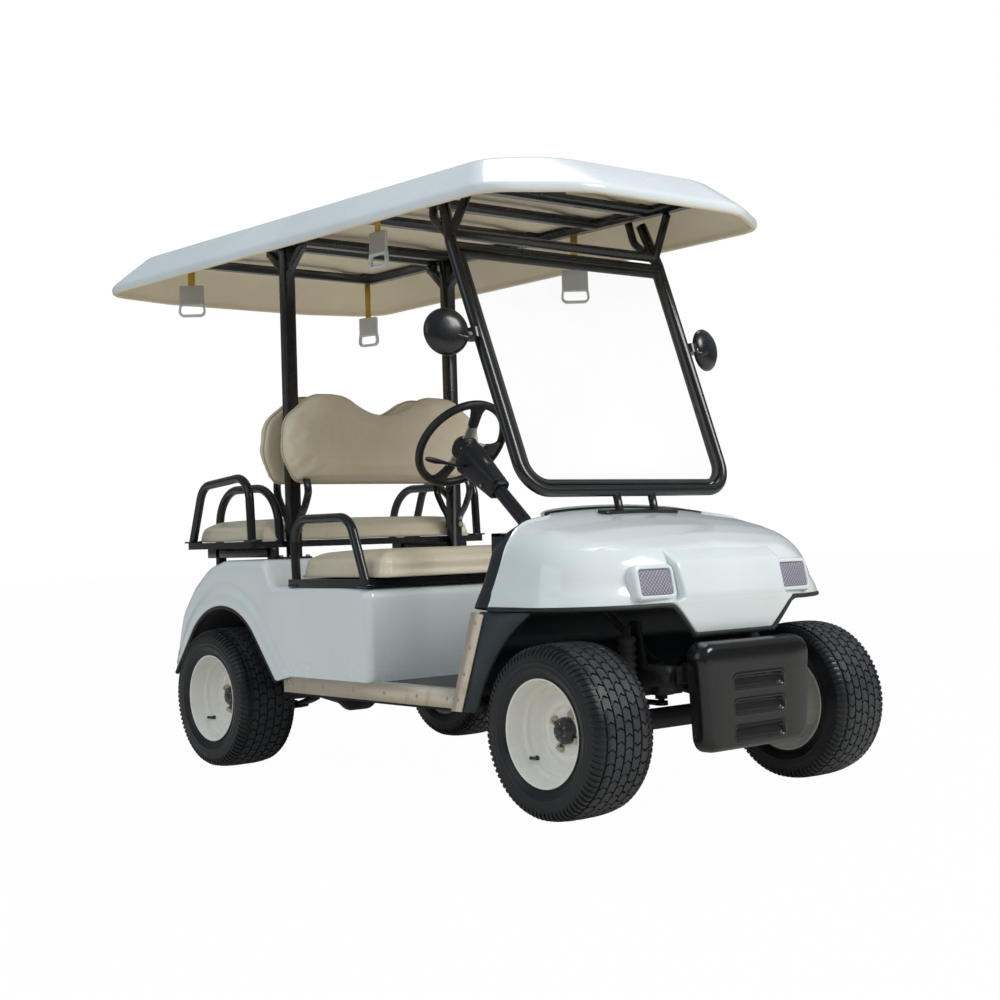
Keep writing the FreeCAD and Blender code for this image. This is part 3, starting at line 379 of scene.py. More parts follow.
@dataclass(frozen=True)
class Vinyl(Finish):
    """Stretched vinyl cover: leather grain, soft puckers and slightly soiled hollows."""

    soiled: Colour = (0.42, 0.36, 0.27)
    roughness: float = 0.36

    def make(self, graph: Graph) -> bpy.types.Material:
        """Draw the cover."""
        broad = graph.noise(5.0, 4.0).ramp(0.35, 0.75)
        fine = graph.noise(46.0, 5.0, 0.6)
        colour = graph.blend(broad, self.colour, shaded(self.colour, 0.93, 0.9, 0.84))
        colour = graph.blend(fine.ramp(0.5, 0.85) * 0.22, colour, self.soiled)
        pores = graph.bump(graph.cells(420.0), 0.0004)
        puckers = graph.bump(graph.noise(11.0, 2.0), 0.002, pores)
        return graph.surface({
            "Base Color": colour,
            "Roughness": self.roughness + fine.ramp(0.3, 0.8) * 0.16,
            "Normal": puckers,
            "Coat Weight": 0.45,
            "Coat Roughness": 0.22,
        })


@dataclass(frozen=True)
class Rubber(Finish):
    """Matt rubber, greyed with dust."""

    dust: Colour = (0.1, 0.09, 0.075)
    roughness: float = 0.62
    dusty: float = 0.35

    def make(self, graph: Graph) -> bpy.types.Material:
        """Draw the rubber."""
        film = graph.noise(11.0, 7.0, 0.65).ramp(0.4, 0.75)
        return graph.surface({
            "Base Color": graph.blend(film * self.dusty, self.colour, self.dust),
            "Roughness": self.roughness + film * 0.16,
            "Normal": graph.bump(graph.noise(260.0, 3.0), 0.00025),
        })


@dataclass(frozen=True)
class Metal(Finish):
    """Bare or plated metal: fine scratches along Y, dull stains and a little grime."""

    roughness: float = 0.32
    stain: Colour = (0.34, 0.3, 0.24)
    stained: float = 0.5

    def make(self, graph: Graph) -> bpy.types.Material:
        """Draw the metal."""
        stretch = graph.node("ShaderNodeMapping", sockets={"Vector": graph.place(), "Scale": (260.0, 9.0, 260.0)})
        brushed = graph.node("ShaderNodeTexNoise", sockets={"Vector": stretch, "Scale": 1.0, "Detail": 3.0})
        blotches = graph.noise(17.0, 8.0, 0.72).ramp(0.5, 0.78)
        return graph.surface({
            "Base Color": graph.blend(blotches * self.stained, self.colour, self.stain),
            "Metallic": 1.0 - blotches * 0.35,
            "Roughness": self.roughness + brushed * 0.18 + blotches * 0.2,
            "Normal": graph.bump(brushed, 0.00012),
        })


@dataclass(frozen=True)
class RawLaminate(Finish):
    """Unpainted inside of a moulding: matt, uneven and stained where the frame touches."""

    stain: Colour = (0.5, 0.37, 0.22)

    def make(self, graph: Graph) -> bpy.types.Material:
        """Draw the laminate."""
        clouds = graph.noise(3.4, 5.0, 0.6).ramp(0.35, 0.8)
        drips = graph.noise(12.0, 8.0, 0.7).ramp(0.6, 0.86)
        paler = tuple(min(1.0, channel * 1.08) for channel in self.colour)
        colour = graph.blend(clouds, paler, self.colour)
        return graph.surface({
            "Base Color": graph.blend(drips * 0.45, colour, self.stain),
            "Roughness": 0.62 + clouds * 0.2,
            "Normal": graph.bump(graph.noise(34.0, 5.0), 0.0016),
        })


@dataclass(frozen=True)
class Sheet(Finish):
    """Clear or frosted plastic."""

    alpha: float = 0.1
    roughness: float = 0.04
    haze: float = 0.05

    def make(self, graph: Graph) -> bpy.types.Material:
        """Draw the sheet."""
        smears = graph.noise(6.0, 6.0, 0.6).ramp(0.45, 0.8)
        return graph.surface({
            "Base Color": self.colour,
            "Roughness": self.roughness + smears * self.haze,
            "Alpha": self.alpha + smears * self.haze,
            "Normal": graph.bump(graph.noise(30.0, 2.0), 0.0001),
        })


@dataclass(frozen=True)
class PebbledLens(Finish):
    """Lamp lens pressed with rows of small pillows over a dim reflector; its colour has a painted glint on each
    pillow top and painted shade between the pillows.
    """

    pitch: float = 0.0115

    def make(self, graph: Graph) -> bpy.types.Material:
        """Draw the lens."""
        across, _, up = graph.axes()
        turn = 2 * math.pi / self.pitch
        pillows = (across * turn).sine() * (up * turn).sine()
        # painted glint: pillow tops get the full colour, the hollows between them a painted shade at 0.45
        painted_glint = pillows.ramp(-0.2, 0.9)
        return graph.surface({
            "Base Color": graph.blend(painted_glint, shaded(self.colour, 0.45), self.colour),
            "Roughness": 0.12 + graph.noise(60.0).ramp(0.4, 0.8) * 0.12,
            "Normal": graph.bump(pillows * 0.5 + 0.5, 0.0016),
            "Coat Weight": 1.0,
            "Coat Roughness": 0.03,
        })


@dataclass(frozen=True)
class Webbing(Finish):
    """Woven strap with a ribbed face and painted shade in the grooves between the ribs."""

    rib_turn: float = 2600.0

    def make(self, graph: Graph) -> bpy.types.Material:
        """Draw the weave."""
        _, _, up = graph.axes()
        ribs = (up * self.rib_turn).sine() * 0.5 + 0.5
        # painted shade: the colour drops to 0.55 in the grooves of the rib relief
        painted_groove_shade = shaded(self.colour, 0.55)
        return graph.surface({
            "Base Color": graph.blend(ribs * 0.6 + graph.noise(240.0) * 0.4, painted_groove_shade, self.colour),
            "Roughness": 0.75 + ribs * 0.1,
            "Normal": graph.bump(ribs, 0.0005),
        })


@dataclass(frozen=True)
class TyreRubber(Finish):
    """Tyre compound: near black with a film of dust; the tread tops are paler and blue-black, a painted highlight
    mixed with dust.
    """

    dust: Colour = (0.115, 0.1, 0.085)
    top: Colour = (0.026, 0.03, 0.038)
    plain_radius: float = 0.2258
    pale_top_radius: float = 0.2276

    def make(self, graph: Graph) -> bpy.types.Material:
        """Draw the compound; the tops of the tread blocks, found by their radius, get a painted highlight in the
        paler blue-black top colour with some dust, while grooves and walls keep the near-black compound.
        """
        film = graph.noise(13.0, 8.0, 0.7).ramp(0.42, 0.74)
        speckle = graph.noise(170.0, 4.0).ramp(0.45, 0.75)
        _, y, z = graph.axes()
        fore, aft, rise = y - FRONT_AXLE_Y, y - REAR_AXLE_Y, z - HUB_Z
        square = (fore * fore).lower(aft * aft) + rise * rise
        # painted highlight: block tops beyond the second radius take the paler blue-black top colour, mixed with dust
        top = square.ramp(self.plain_radius ** 2, self.pale_top_radius ** 2)
        worn = graph.blend(film * 0.22 + speckle * 0.1, self.top, self.dust)
        return graph.surface({
            "Base Color": graph.blend(top, graph.blend(film * 0.12, self.colour, self.dust), worn),
            "Roughness": 0.36 + film * 0.2 + top * 0.08,
            "Normal": graph.bump(graph.noise(320.0, 3.0), 0.0003),
        })


PANEL = GlossPanel("cart_white_panel", (0.8, 0.845, 0.86))
ROOF_WHITE = GlossPanel("roof_white_gelcoat", (0.8, 0.845, 0.87), roughness=0.22, coat=0.4)
# cream of the bare laminate, made warmer to paint in the warm light bounced up from the ground
ROOF_INSIDE = RawLaminate("roof_cream_laminate", (0.79, 0.69, 0.53))
BUMPER = GlossPanel("bumper_black_gloss", (0.004, 0.0045, 0.006), roughness=0.18, coat=0.25,
                    dust=(0.018, 0.016, 0.014))
TUBE = Moulding("black_powder_coat", (0.006, 0.007, 0.01), 0.26, 900.0, 0.00004, (0.03, 0.034, 0.042), 0.25, 0.3)
FRAME_PAINT = Moulding("chassis_satin_black", (0.008, 0.008, 0.01), 0.5, 500.0, 0.0001, (0.045, 0.037, 0.03), 0.45)
LINER = Moulding("liner_slate_grain", (0.03, 0.041, 0.053), 0.5, 420.0, 0.0003, (0.09, 0.11, 0.12), 0.45)
# near-black; inside the rear wheel wells it paints the shade in the arches
LINER_DARK = Moulding("wheel_well_black", (0.005, 0.006, 0.007), 0.6, 420.0, 0.0003, (0.02, 0.02, 0.02), 0.4)
DASH = Moulding("dash_black_grain", (0.01, 0.013, 0.02), 0.34, 520.0, 0.0001, (0.05, 0.06, 0.08), 0.3, 0.3)
COLUMN = Moulding("column_black_grain", (0.009, 0.011, 0.016), 0.36, 620.0, 0.00015, (0.07, 0.08, 0.1), 0.3)
GRIP = Moulding("grip_soft_black", (0.007, 0.007, 0.008), 0.42, 760.0, 0.0002, (0.05, 0.05, 0.055), 0.3)
EDGE_RUBBER = Rubber("edging_rubber", (0.012, 0.014, 0.018), roughness=0.5, dusty=0.25)
GAITER_RUBBER = Rubber("gaiter_rubber", (0.02, 0.021, 0.023))
MAT = Rubber("floor_mat_rubber", (0.1, 0.105, 0.11), dust=(0.2, 0.18, 0.15), roughness=0.55, dusty=0.6)
SEAT_VINYL = Vinyl("bench_beige_vinyl", (0.77, 0.68, 0.515), roughness=0.3)
PIPING = Vinyl("bench_welt_vinyl", (0.66, 0.585, 0.46), roughness=0.45)
ALUMINIUM = Metal("mill_aluminium", (0.86, 0.77, 0.65), 0.42, (0.46, 0.34, 0.24), 0.6)
ZINC = Metal("zinc_fasteners", (0.62, 0.6, 0.56), 0.3)
BRASS_ZINC = Metal("yellow_zinc_nuts", (0.62, 0.57, 0.47), 0.25, (0.3, 0.25, 0.18), 0.4)
SILVER = Metal("brushed_spoke", (0.8, 0.77, 0.72), 0.25, stained=0.15)
MIRROR_GLASS = Metal("mirror_silvering", (0.86, 0.88, 0.9), 0.02, (0.8, 0.82, 0.84), 0.05)
RIM_PAINT = GlossPanel("rim_white_paint", (0.92, 0.895, 0.83), roughness=0.24, coat=0.5, dust=(0.6, 0.52, 0.42),
                       dust_top=0.12)
CAP_BLACK = Moulding("hub_cap_black", (0.02, 0.022, 0.024), 0.34, 300.0, 0.00008, (0.08, 0.08, 0.08), 0.3, 0.3)
TYRE = TyreRubber("tyre_compound", (0.006, 0.008, 0.012))
LENS = PebbledLens("lamp_pebbled_lens", (0.46, 0.43, 0.53))
SCREEN = Sheet("screen_clear_acrylic", (0.93, 0.96, 0.98), alpha=0.03, haze=0.015)
HANDLE = Sheet("handle_frosted_plastic", (0.78, 0.81, 0.84), alpha=0.78, roughness=0.32, haze=0.1)
STRAP = Webbing("strap_yellow_webbing", (0.8, 0.5, 0.05))
CASE = Moulding("battery_case_black", (0.03, 0.03, 0.03), 0.5, 300.0, 0.0002, (0.1, 0.09, 0.08), 0.3)
MOTOR = Moulding("motor_casting_black", (0.045, 0.045, 0.047), 0.55, 160.0, 0.0005, (0.13, 0.11, 0.09), 0.4)

NODE_FINISHES: dict[str, Finish] = {
    "frame_black": FRAME_PAINT, "rubber_black": GAITER_RUBBER, "floor_mat": MAT, "aluminium": ALUMINIUM,
    "battery_case": CASE, "motor_case": MOTOR, "column_black": COLUMN, "wheel_black": GRIP,
    "body_white": PANEL, "lens": LENS, "bumper_black": BUMPER, "liner_grey": LINER, "tube_black": TUBE,
    "vinyl_beige": SEAT_VINYL, "clear_screen": SCREEN, "roof_white": ROOF_WHITE, "webbing_yellow": STRAP,
    "handle_clear": HANDLE, "tyre_rubber": TYRE, "rim_white": RIM_PAINT,
}


# Mesh building ----------------------------------------------------------------------------------


def arc(centre: Flat, radius: float, start: float, stop: float, count: int) -> list[Flat]:
    """Points on an arc in a plane.

    Args:
        centre: centre of the arc.
        radius: its radius.
        start: first angle in degrees.
        stop: last angle in degrees.
        count: number of points.

    Returns:
        The points, both ends included.
    """
    turns = [math.radians(start + (stop - start) * step / (count - 1)) for step in range(count)]
    return [(centre[0] + radius * math.cos(turn), centre[1] + radius * math.sin(turn)) for turn in turns]


def rounded(corners: Sequence[Point], radii: Sequence[float], steps: int = 8, closed: bool = False) -> list[Vector]:
    """A route of straight runs joined by arcs.

    Args:
        corners: corners of the route.
        radii: bend radius at each corner; 0 keeps it sharp, as do the ends of an open route.
        steps: points in each bend.
        closed: whether the last corner joins the first.

    Returns:
        The points of the route.
    """
    route: list[Vector] = []
    count = len(corners)
    for index, corner in enumerate(corners):
        here = Vector(corner)
        at_end = not closed and index in (0, count - 1)
        if at_end or radii[index] <= 0:
            route.append(here)
            continue
        back = (Vector(corners[index - 1]) - here).normalized()
        ahead = (Vector(corners[(index + 1) % count]) - here).normalized()
        half = math.acos(max(-1.0, min(1.0, back.dot(ahead)))) / 2
        reach = radii[index] / math.tan(half)
        middle = here + (back + ahead).normalized() * (radii[index] / math.sin(half))
        first = (here + back * reach - middle).normalized()
        last = (here + ahead * reach - middle).normalized()
        for step in range(steps + 1):
            route.append(middle + first.slerp(last, step / steps) * radii[index])
    return route


def smoothstep(value: float, low: float, high: float) -> float:
    """Smooth step of a number.

    Args:
        value: the number.
        low: number that becomes 0.
        high: number that becomes 1.

    Returns:
        A number between 0 and 1.
    """
    share = max(0.0, min(1.0, (value - low) / (high - low)))
    return share * share * (3 - 2 * share)


def between(table: Sequence[Flat], place: float) -> float:
    """Value of a table at a place, with straight lines between its entries.

    Args:
        table: (place, value) pairs in rising order.
        place: where to read it.

    Returns:
        The value, held at both ends.
    """
    if place <= table[0][0]:
        return table[0][1]
    for (low, first), (high, last) in zip(table, table[1:]):
        if place <= high:
            return first + (last - first) * (place - low) / (high - low)
    return table[-1][1]


def evenly(route: Sequence[Vector], count: int) -> list[Vector]:
    """Evenly spread points along a route.

    Args:
        route: points of the route.
        count: number of points wanted, both ends included.

    Returns:
        The points.
    """
    lengths = [0.0]
    for first, second in zip(route, route[1:]):
        lengths.append(lengths[-1] + (second - first).length)
    tables = [[(length, spot[axis]) for length, spot in zip(lengths, route)] for axis in range(3)]
    return [Vector(between(table, lengths[-1] * step / (count - 1)) for table in tables) for step in range(count)]


def even_ring(corners: Sequence[Point], radius: float, count: int = 120) -> list[Vector]:
    """Closed outline with equal round corners and evenly spread points.

    Args:
        corners: its corners.
        radius: radius of every corner.
        count: number of points.

    Returns:
        Points of the ring.
    """
    ring = rounded(corners, [radius] * len(corners), 8, closed=True)
    return evenly(ring + ring[:1], count + 1)[:-1]


def band_tint(tint: int | Sequence[int], band: int) -> int:
    """Finish of one band, where all bands may share one."""
    return tint if isinstance(tint, int) else tint[band]


class Skin:
    """Mesh under construction: points, faces and the finish of each face."""

    def __init__(self) -> None:
        """Start empty."""
        self.points: list[Vector] = []
        self.faces: list[tuple[int, ...]] = []
        self.tints: list[int] = []

    def add(self, points: Iterable[Sequence[float]]) -> list[int]:
        """Add points.

        Args:
            points: the new points.

        Returns:
            Their numbers.
        """
        first = len(self.points)
        self.points.extend(Vector(point) for point in points)
        return list(range(first, len(self.points)))

    def face(self, corners: Sequence[int], tint: int = 0) -> None:
        """Add one face.

        Args:
            corners: numbers of its points.
            tint: number of its finish.
        """
        self.faces.append(tuple(corners))
        self.tints.append(tint)

    def join(self, rings: Sequence[Sequence[int]], closed: bool = True, around: bool = False,
             tint: int | Sequence[int] = 0) -> None:
        """Add quads between rows of points.

        Args:
            rings: rows of point numbers, all the same length.
            closed: whether each row is a ring.
            around: whether the last row joins the first.
            tint: finish, or one finish for each band between rows.
        """
        pairs = list(zip(rings, rings[1:]))
        if around:
            pairs.append((rings[-1], rings[0]))
        for band, (low, high) in enumerate(pairs):
            count = len(low)
            shade = band_tint(tint, band)
            for step in range(count if closed else count - 1):
                after = (step + 1) % count
                self.face((low[step], low[after], high[after], high[step]), shade)

    def loft(self, rings: Sequence[Sequence[Sequence[float]]], closed: bool = True, caps: bool = True,
             tint: int | Sequence[int] = 0) -> None:
        """Add a skin through rows of points.

        Args:
            rings: rows of points, all the same length.
            closed: whether each row is a ring.
            caps: whether the first and last rings are filled.
            tint: finish, or one finish for each band.
        """
        rows = [self.add(ring) for ring in rings]
        self.join(rows, closed, tint=tint)
        if caps and closed:
            self.face(rows[0][::-1], band_tint(tint, 0))
            self.face(rows[-1], band_tint(tint, -1))

    def loft_pair(self, rows: Sequence[Sequence[Sequence[float]]], tint: int | Sequence[int] = 0) -> None:
        """Add an open skin through rows of points, and its mirror image across X.

        Args:
            rows: rows of points on the left.
            tint: finish, or one finish for each band.
        """
        for sign in (1, -1):
            self.loft([[(sign * x, y, z) for x, y, z in row] for row in rows], closed=False, tint=tint)

    def lathe(self, profile: Sequence[Flat], steps: int = 64, tint: int | Sequence[int] = 0,
              ring: bool = False) -> None:
        """Add a turned shape about the X axis.

        Args:
            profile: (distance along X, radius) pairs; a radius of 0 closes the end.
            steps: faces round the axis.
            tint: finish, or one finish for each stretch of the profile.
            ring: whether the profile is a closed loop.
        """
        rows: list[list[int]] = []
        for along, radius in profile:
            if radius < 1e-6:
                rows.append(self.add([(along, 0.0, 0.0)]) * steps)
                continue
            turns = [2 * math.pi * step / steps for step in range(steps)]
            rows.append(self.add((along, radius * math.cos(turn), radius * math.sin(turn)) for turn in turns))
        pairs = list(zip(rows, rows[1:])) + ([(rows[-1], rows[0])] if ring else [])
        for band, (low, high) in enumerate(pairs):
            shade = band_tint(tint, band)
            for step in range(steps):
                after = (step + 1) % steps
                corners = dict.fromkeys((low[step], low[after], high[after], high[step]))
                if len(corners) > 2:
                    self.face(tuple(corners), shade)

    def tube(self, route: Sequence[Sequence[float]], radius: float | Sequence[float], sides: int = 16,
             closed: bool = False, tint: int = 0, flat: float = 1.0,
             up: Sequence[float] | None = None) -> None:
        """Add a tube along a route.

        Args:
            route: points of the route.
            radius: radius, or one for each point.
            sides: faces round the tube.
            closed: whether the route is a ring.
            tint: its finish.
            flat: height over width of the section.
            up: direction that the section's height starts along.
        """
        spots = [Vector(point) for point in route]
        count = len(spots)
        radii = [radius] * count if isinstance(radius, (int, float)) else list(radius)
        tangents = []
        for index in range(count):
            if closed:
                ahead, back = spots[(index + 1) % count], spots[index - 1]
            else:
                ahead, back = spots[min(index + 1, count - 1)], spots[max(index - 1, 0)]
            tangents.append((ahead - back).normalized())
        normal = Vector(up) if up else tangents[0].orthogonal()
        normal = (normal - tangents[0] * normal.dot(tangents[0])).normalized()
        rows = []
        for spot, tangent, size in zip(spots, tangents, radii):
            normal = (normal - tangent * normal.dot(tangent)).normalized()
            across = tangent.cross(normal)
            turns = [2 * math.pi * (step + 0.5) / sides for step in range(sides)]
            rows.append(self.add(spot + across * (size * math.cos(turn)) + normal * (size * flat * math.sin(turn))
                                 for turn in turns))
        self.join(rows, around=closed, tint=tint)
        if not closed:
            self.face(rows[0][::-1], tint)
            self.face(rows[-1], tint)

    def box(self, low: Sequence[float], high: Sequence[float], tint: int = 0, round_by: float = 0.0) -> None:
        """Add a block, with its corners cut by round_by.

        Args:
            low: lowest corner.
            high: highest corner.
            tint: its finish.
            round_by: width of the cut along every edge.
        """
        made = bmesh.new()
        bmesh.ops.create_cube(made, size=1.0)
        span = [high[axis] - low[axis] for axis in range(3)]
        middle = [(high[axis] + low[axis]) / 2 for axis in range(3)]
        for point in made.verts:
            point.co = Vector(middle[axis] + point.co[axis] * span[axis] for axis in range(3))
        if round_by:
            bmesh.ops.bevel(made, geom=made.edges[:], offset=round_by, segments=2, affect="EDGES", profile=0.5)
        made.verts.index_update()
        numbers = self.add(point.co for point in made.verts)
        for face in made.faces:
            self.face([numbers[corner.index] for corner in face.verts], tint)
        made.free()

    def merge(self, other: "Skin", matrix: Matrix, tint: int | None = None) -> None:
        """Add a copy of another skin.

        Args:
            other: the skin to copy.
            matrix: where it goes.
            tint: finish of the copy, or None to keep its own.
        """
        numbers = self.add(matrix @ point for point in other.points)
        flip = matrix.determinant() < 0
        for corners, own in zip(other.faces, other.tints):
            moved = [numbers[corner] for corner in corners]
            self.face(moved[::-1] if flip else moved, own if tint is None else tint)

    def mesh(self, name: str, finishes: Sequence[Finish], sharp: float = 35.0, weld: float = 0.0) -> bpy.types.Object:
        """Turn the skin into an object.

        Args:
            name: its name.
            finishes: finishes in the order of the tints.
            sharp: angle in degrees above which an edge stays sharp.
            weld: distance within which points become one.

        Returns:
            The object, linked to the scene.
        """
        made = bpy.data.meshes.new(name)
        made.from_pydata([tuple(point) for point in self.points], [], self.faces)
        for finish in finishes:
            made.materials.append(finish.material())
        made.polygons.foreach_set("material_index", self.tints)
        worked = bmesh.new()
        worked.from_mesh(made)
        if weld:
            bmesh.ops.remove_doubles(worked, verts=worked.verts[:], dist=weld)
        bmesh.ops.recalc_face_normals(worked, faces=worked.faces[:])
        worked.to_mesh(made)
        worked.free()
        made.shade_smooth()
        made.set_sharp_from_angle(angle=math.radians(sharp))
        piece = bpy.data.objects.new(name, made)
        bpy.context.collection.objects.link(piece)
        return piece


def along(start: Sequence[float], stop: Sequence[float]) -> Matrix:
    """Matrix that puts the X axis' start at one point and turns it towards another.

    Args:
        start: where the origin goes.
        stop: point that +X looks at.

    Returns:
        The matrix, with no change of size.
    """
    aim = (Vector(stop) - Vector(start)).normalized()
    return Matrix.Translation(Vector(start)) @ aim.to_track_quat("X", "Z").to_matrix().to_4x4()


def fastener(head: Head, radius: float, height: float) -> Skin:
    """A fastener's head that stands on X = 0 and points along +X.

    Args:
        head: its shape.
        radius: radius over the corners or the rim.
        height: height of the head.

    Returns:
        The head, with its washer where it has one.
    """
    skin = Skin()
    if head is Head.DOME:
        skin.lathe([(0, radius), (height * 0.35, radius * 0.97), (height * 0.72, radius * 0.72),
                    (height * 0.95, radius * 0.35), (height, 0)], 20)
    elif head is Head.PAN:
        skin.lathe([(0, radius), (height * 0.6, radius * 0.98), (height, radius * 0.8), (height, radius * 0.45),
                    (height * 0.55, radius * 0.38), (height * 0.55, 0)], 20)
    else:
        skin.lathe([(0, radius * 1.35), (height * 0.22, radius * 1.33), (height * 0.25, radius * 0.9)], 24)
        skin.lathe([(height * 0.2, radius), (height * 0.88, radius), (height, radius * 0.86), (height, 0)], 6)
    return skin


def dress(piece: bpy.types.Object, body: str, slot: str, *nodes: str) -> None:
    """Tie a piece to the frame and report it.

    Args:
        piece: the object.
        body: CAD body that it rides on.
        slot: name of a material slot; not used.
        nodes: CAD nodes that it stands for.
    """
    if nodes:
        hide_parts(*nodes)
    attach(piece, body)
    LOG.info("%s rides on %s", piece.name, body)


def subdivide(piece: bpy.types.Object, levels: int) -> None:
    """Smooth a piece's cage for good.

    Args:
        piece: the object.
        levels: number of Catmull-Clark steps.
    """
    rounding = piece.modifiers.new("rounding", "SUBSURF")
    rounding.levels = levels
    rounding.render_levels = levels
    settle(piece)


def settle(piece: bpy.types.Object) -> None:
    """Apply every modifier of a piece.

    Args:
        piece: the object.
    """
    graph = bpy.context.evaluated_depsgraph_get()
    made = bpy.data.meshes.new_from_object(piece.evaluated_get(graph), depsgraph=graph)
    piece.modifiers.clear()
    piece.data = made


def thicken(piece: bpy.types.Object, thickness: float, offset: float = -1.0) -> bpy.types.Object:
    """Give a skin its wall.

    Args:
        piece: the object.
        thickness: thickness of the wall.
        offset: -1 puts it inside the skin, 0 in the middle.

    Returns:
        The same object.
    """
    wall = piece.modifiers.new("wall", "SOLIDIFY")
    wall.thickness = thickness
    wall.offset = offset
    settle(piece)
    return piece


def even_shade(piece: bpy.types.Object) -> bpy.types.Object:
    """Let a piece's large faces rule its shading.

    Args:
        piece: the object.

    Returns:
        The same object.
    """
    piece.data.set_sharp_from_angle(angle=math.radians(50))
    piece.modifiers.new("even_shade", "WEIGHTED_NORMAL").keep_sharp = True
    return piece


# Wheels -----------------------------------------------------------------------------------------

# x, r of the tyre's outer skin from the bead to the crown
CARCASS = ((0.0885, 0.1408), (0.0895, 0.1475), (0.0945, 0.1535), (0.0985, 0.162), (0.1003, 0.1682), (0.1013, 0.1694),
           (0.1013, 0.1714), (0.1008, 0.173), (0.1017, 0.18), (0.102, 0.187), (0.1012, 0.1892), (0.1013, 0.1912),
           (0.1008, 0.1985), (0.098, 0.207), (0.092, 0.215), (0.084, 0.2197), (0.07, 0.2218), (0.04, 0.2236),
           (0.0, 0.2243))
# x, r, rise, lean of a shoulder lug along its length
LUG = ((0.0745, 0.2205, 0.003, 0.0), (0.084, 0.2192, 0.004, 0.0015), (0.0925, 0.214, 0.004, 0.0035),
       (0.0982, 0.206, 0.0034, 0.006), (0.1005, 0.1975, 0.0008, 0.009))
# x, r once round the rim: lip, outer band, step, barrel, disc, back of the disc, inner barrel, tyre side
RIM = ((0.093, 0.1415), (0.0932, 0.1395), (0.092, 0.1376), (0.0895, 0.1366), (0.06, 0.129), (0.053, 0.1276),
       (0.048, 0.1256), (0.0445, 0.1222), (0.042, 0.1196), (0.037, 0.1183), (0.031, 0.117), (0.0275, 0.115),
       (0.0255, 0.1125), (0.009, 0.1055), (0.0045, 0.1025), (0.001, 0.098), (0.0005, 0.092), (0.004, 0.086),
       (0.0075, 0.08), (0.0085, 0.07), (0.008, 0.0655), (0.0045, 0.062), (0.003, 0.057), (0.003, 0.013),
       (0.0, 0.013), (0.0, 0.06), (0.004, 0.07), (0.0035, 0.08), (-0.003, 0.09), (-0.003, 0.1),
       (-0.006, 0.109), (-0.055, 0.1125), (-0.06, 0.118), (-0.086, 0.137), (-0.092, 0.1385),
       (-0.0932, 0.14), (-0.0925, 0.1418), (-0.09, 0.1412), (-0.062, 0.1235), (-0.052, 0.1165),
       (0.023, 0.1165), (0.028, 0.1205), (0.037, 0.122), (0.044, 0.1265), (0.052, 0.1302), (0.089, 0.14),
       (0.0912, 0.1418))


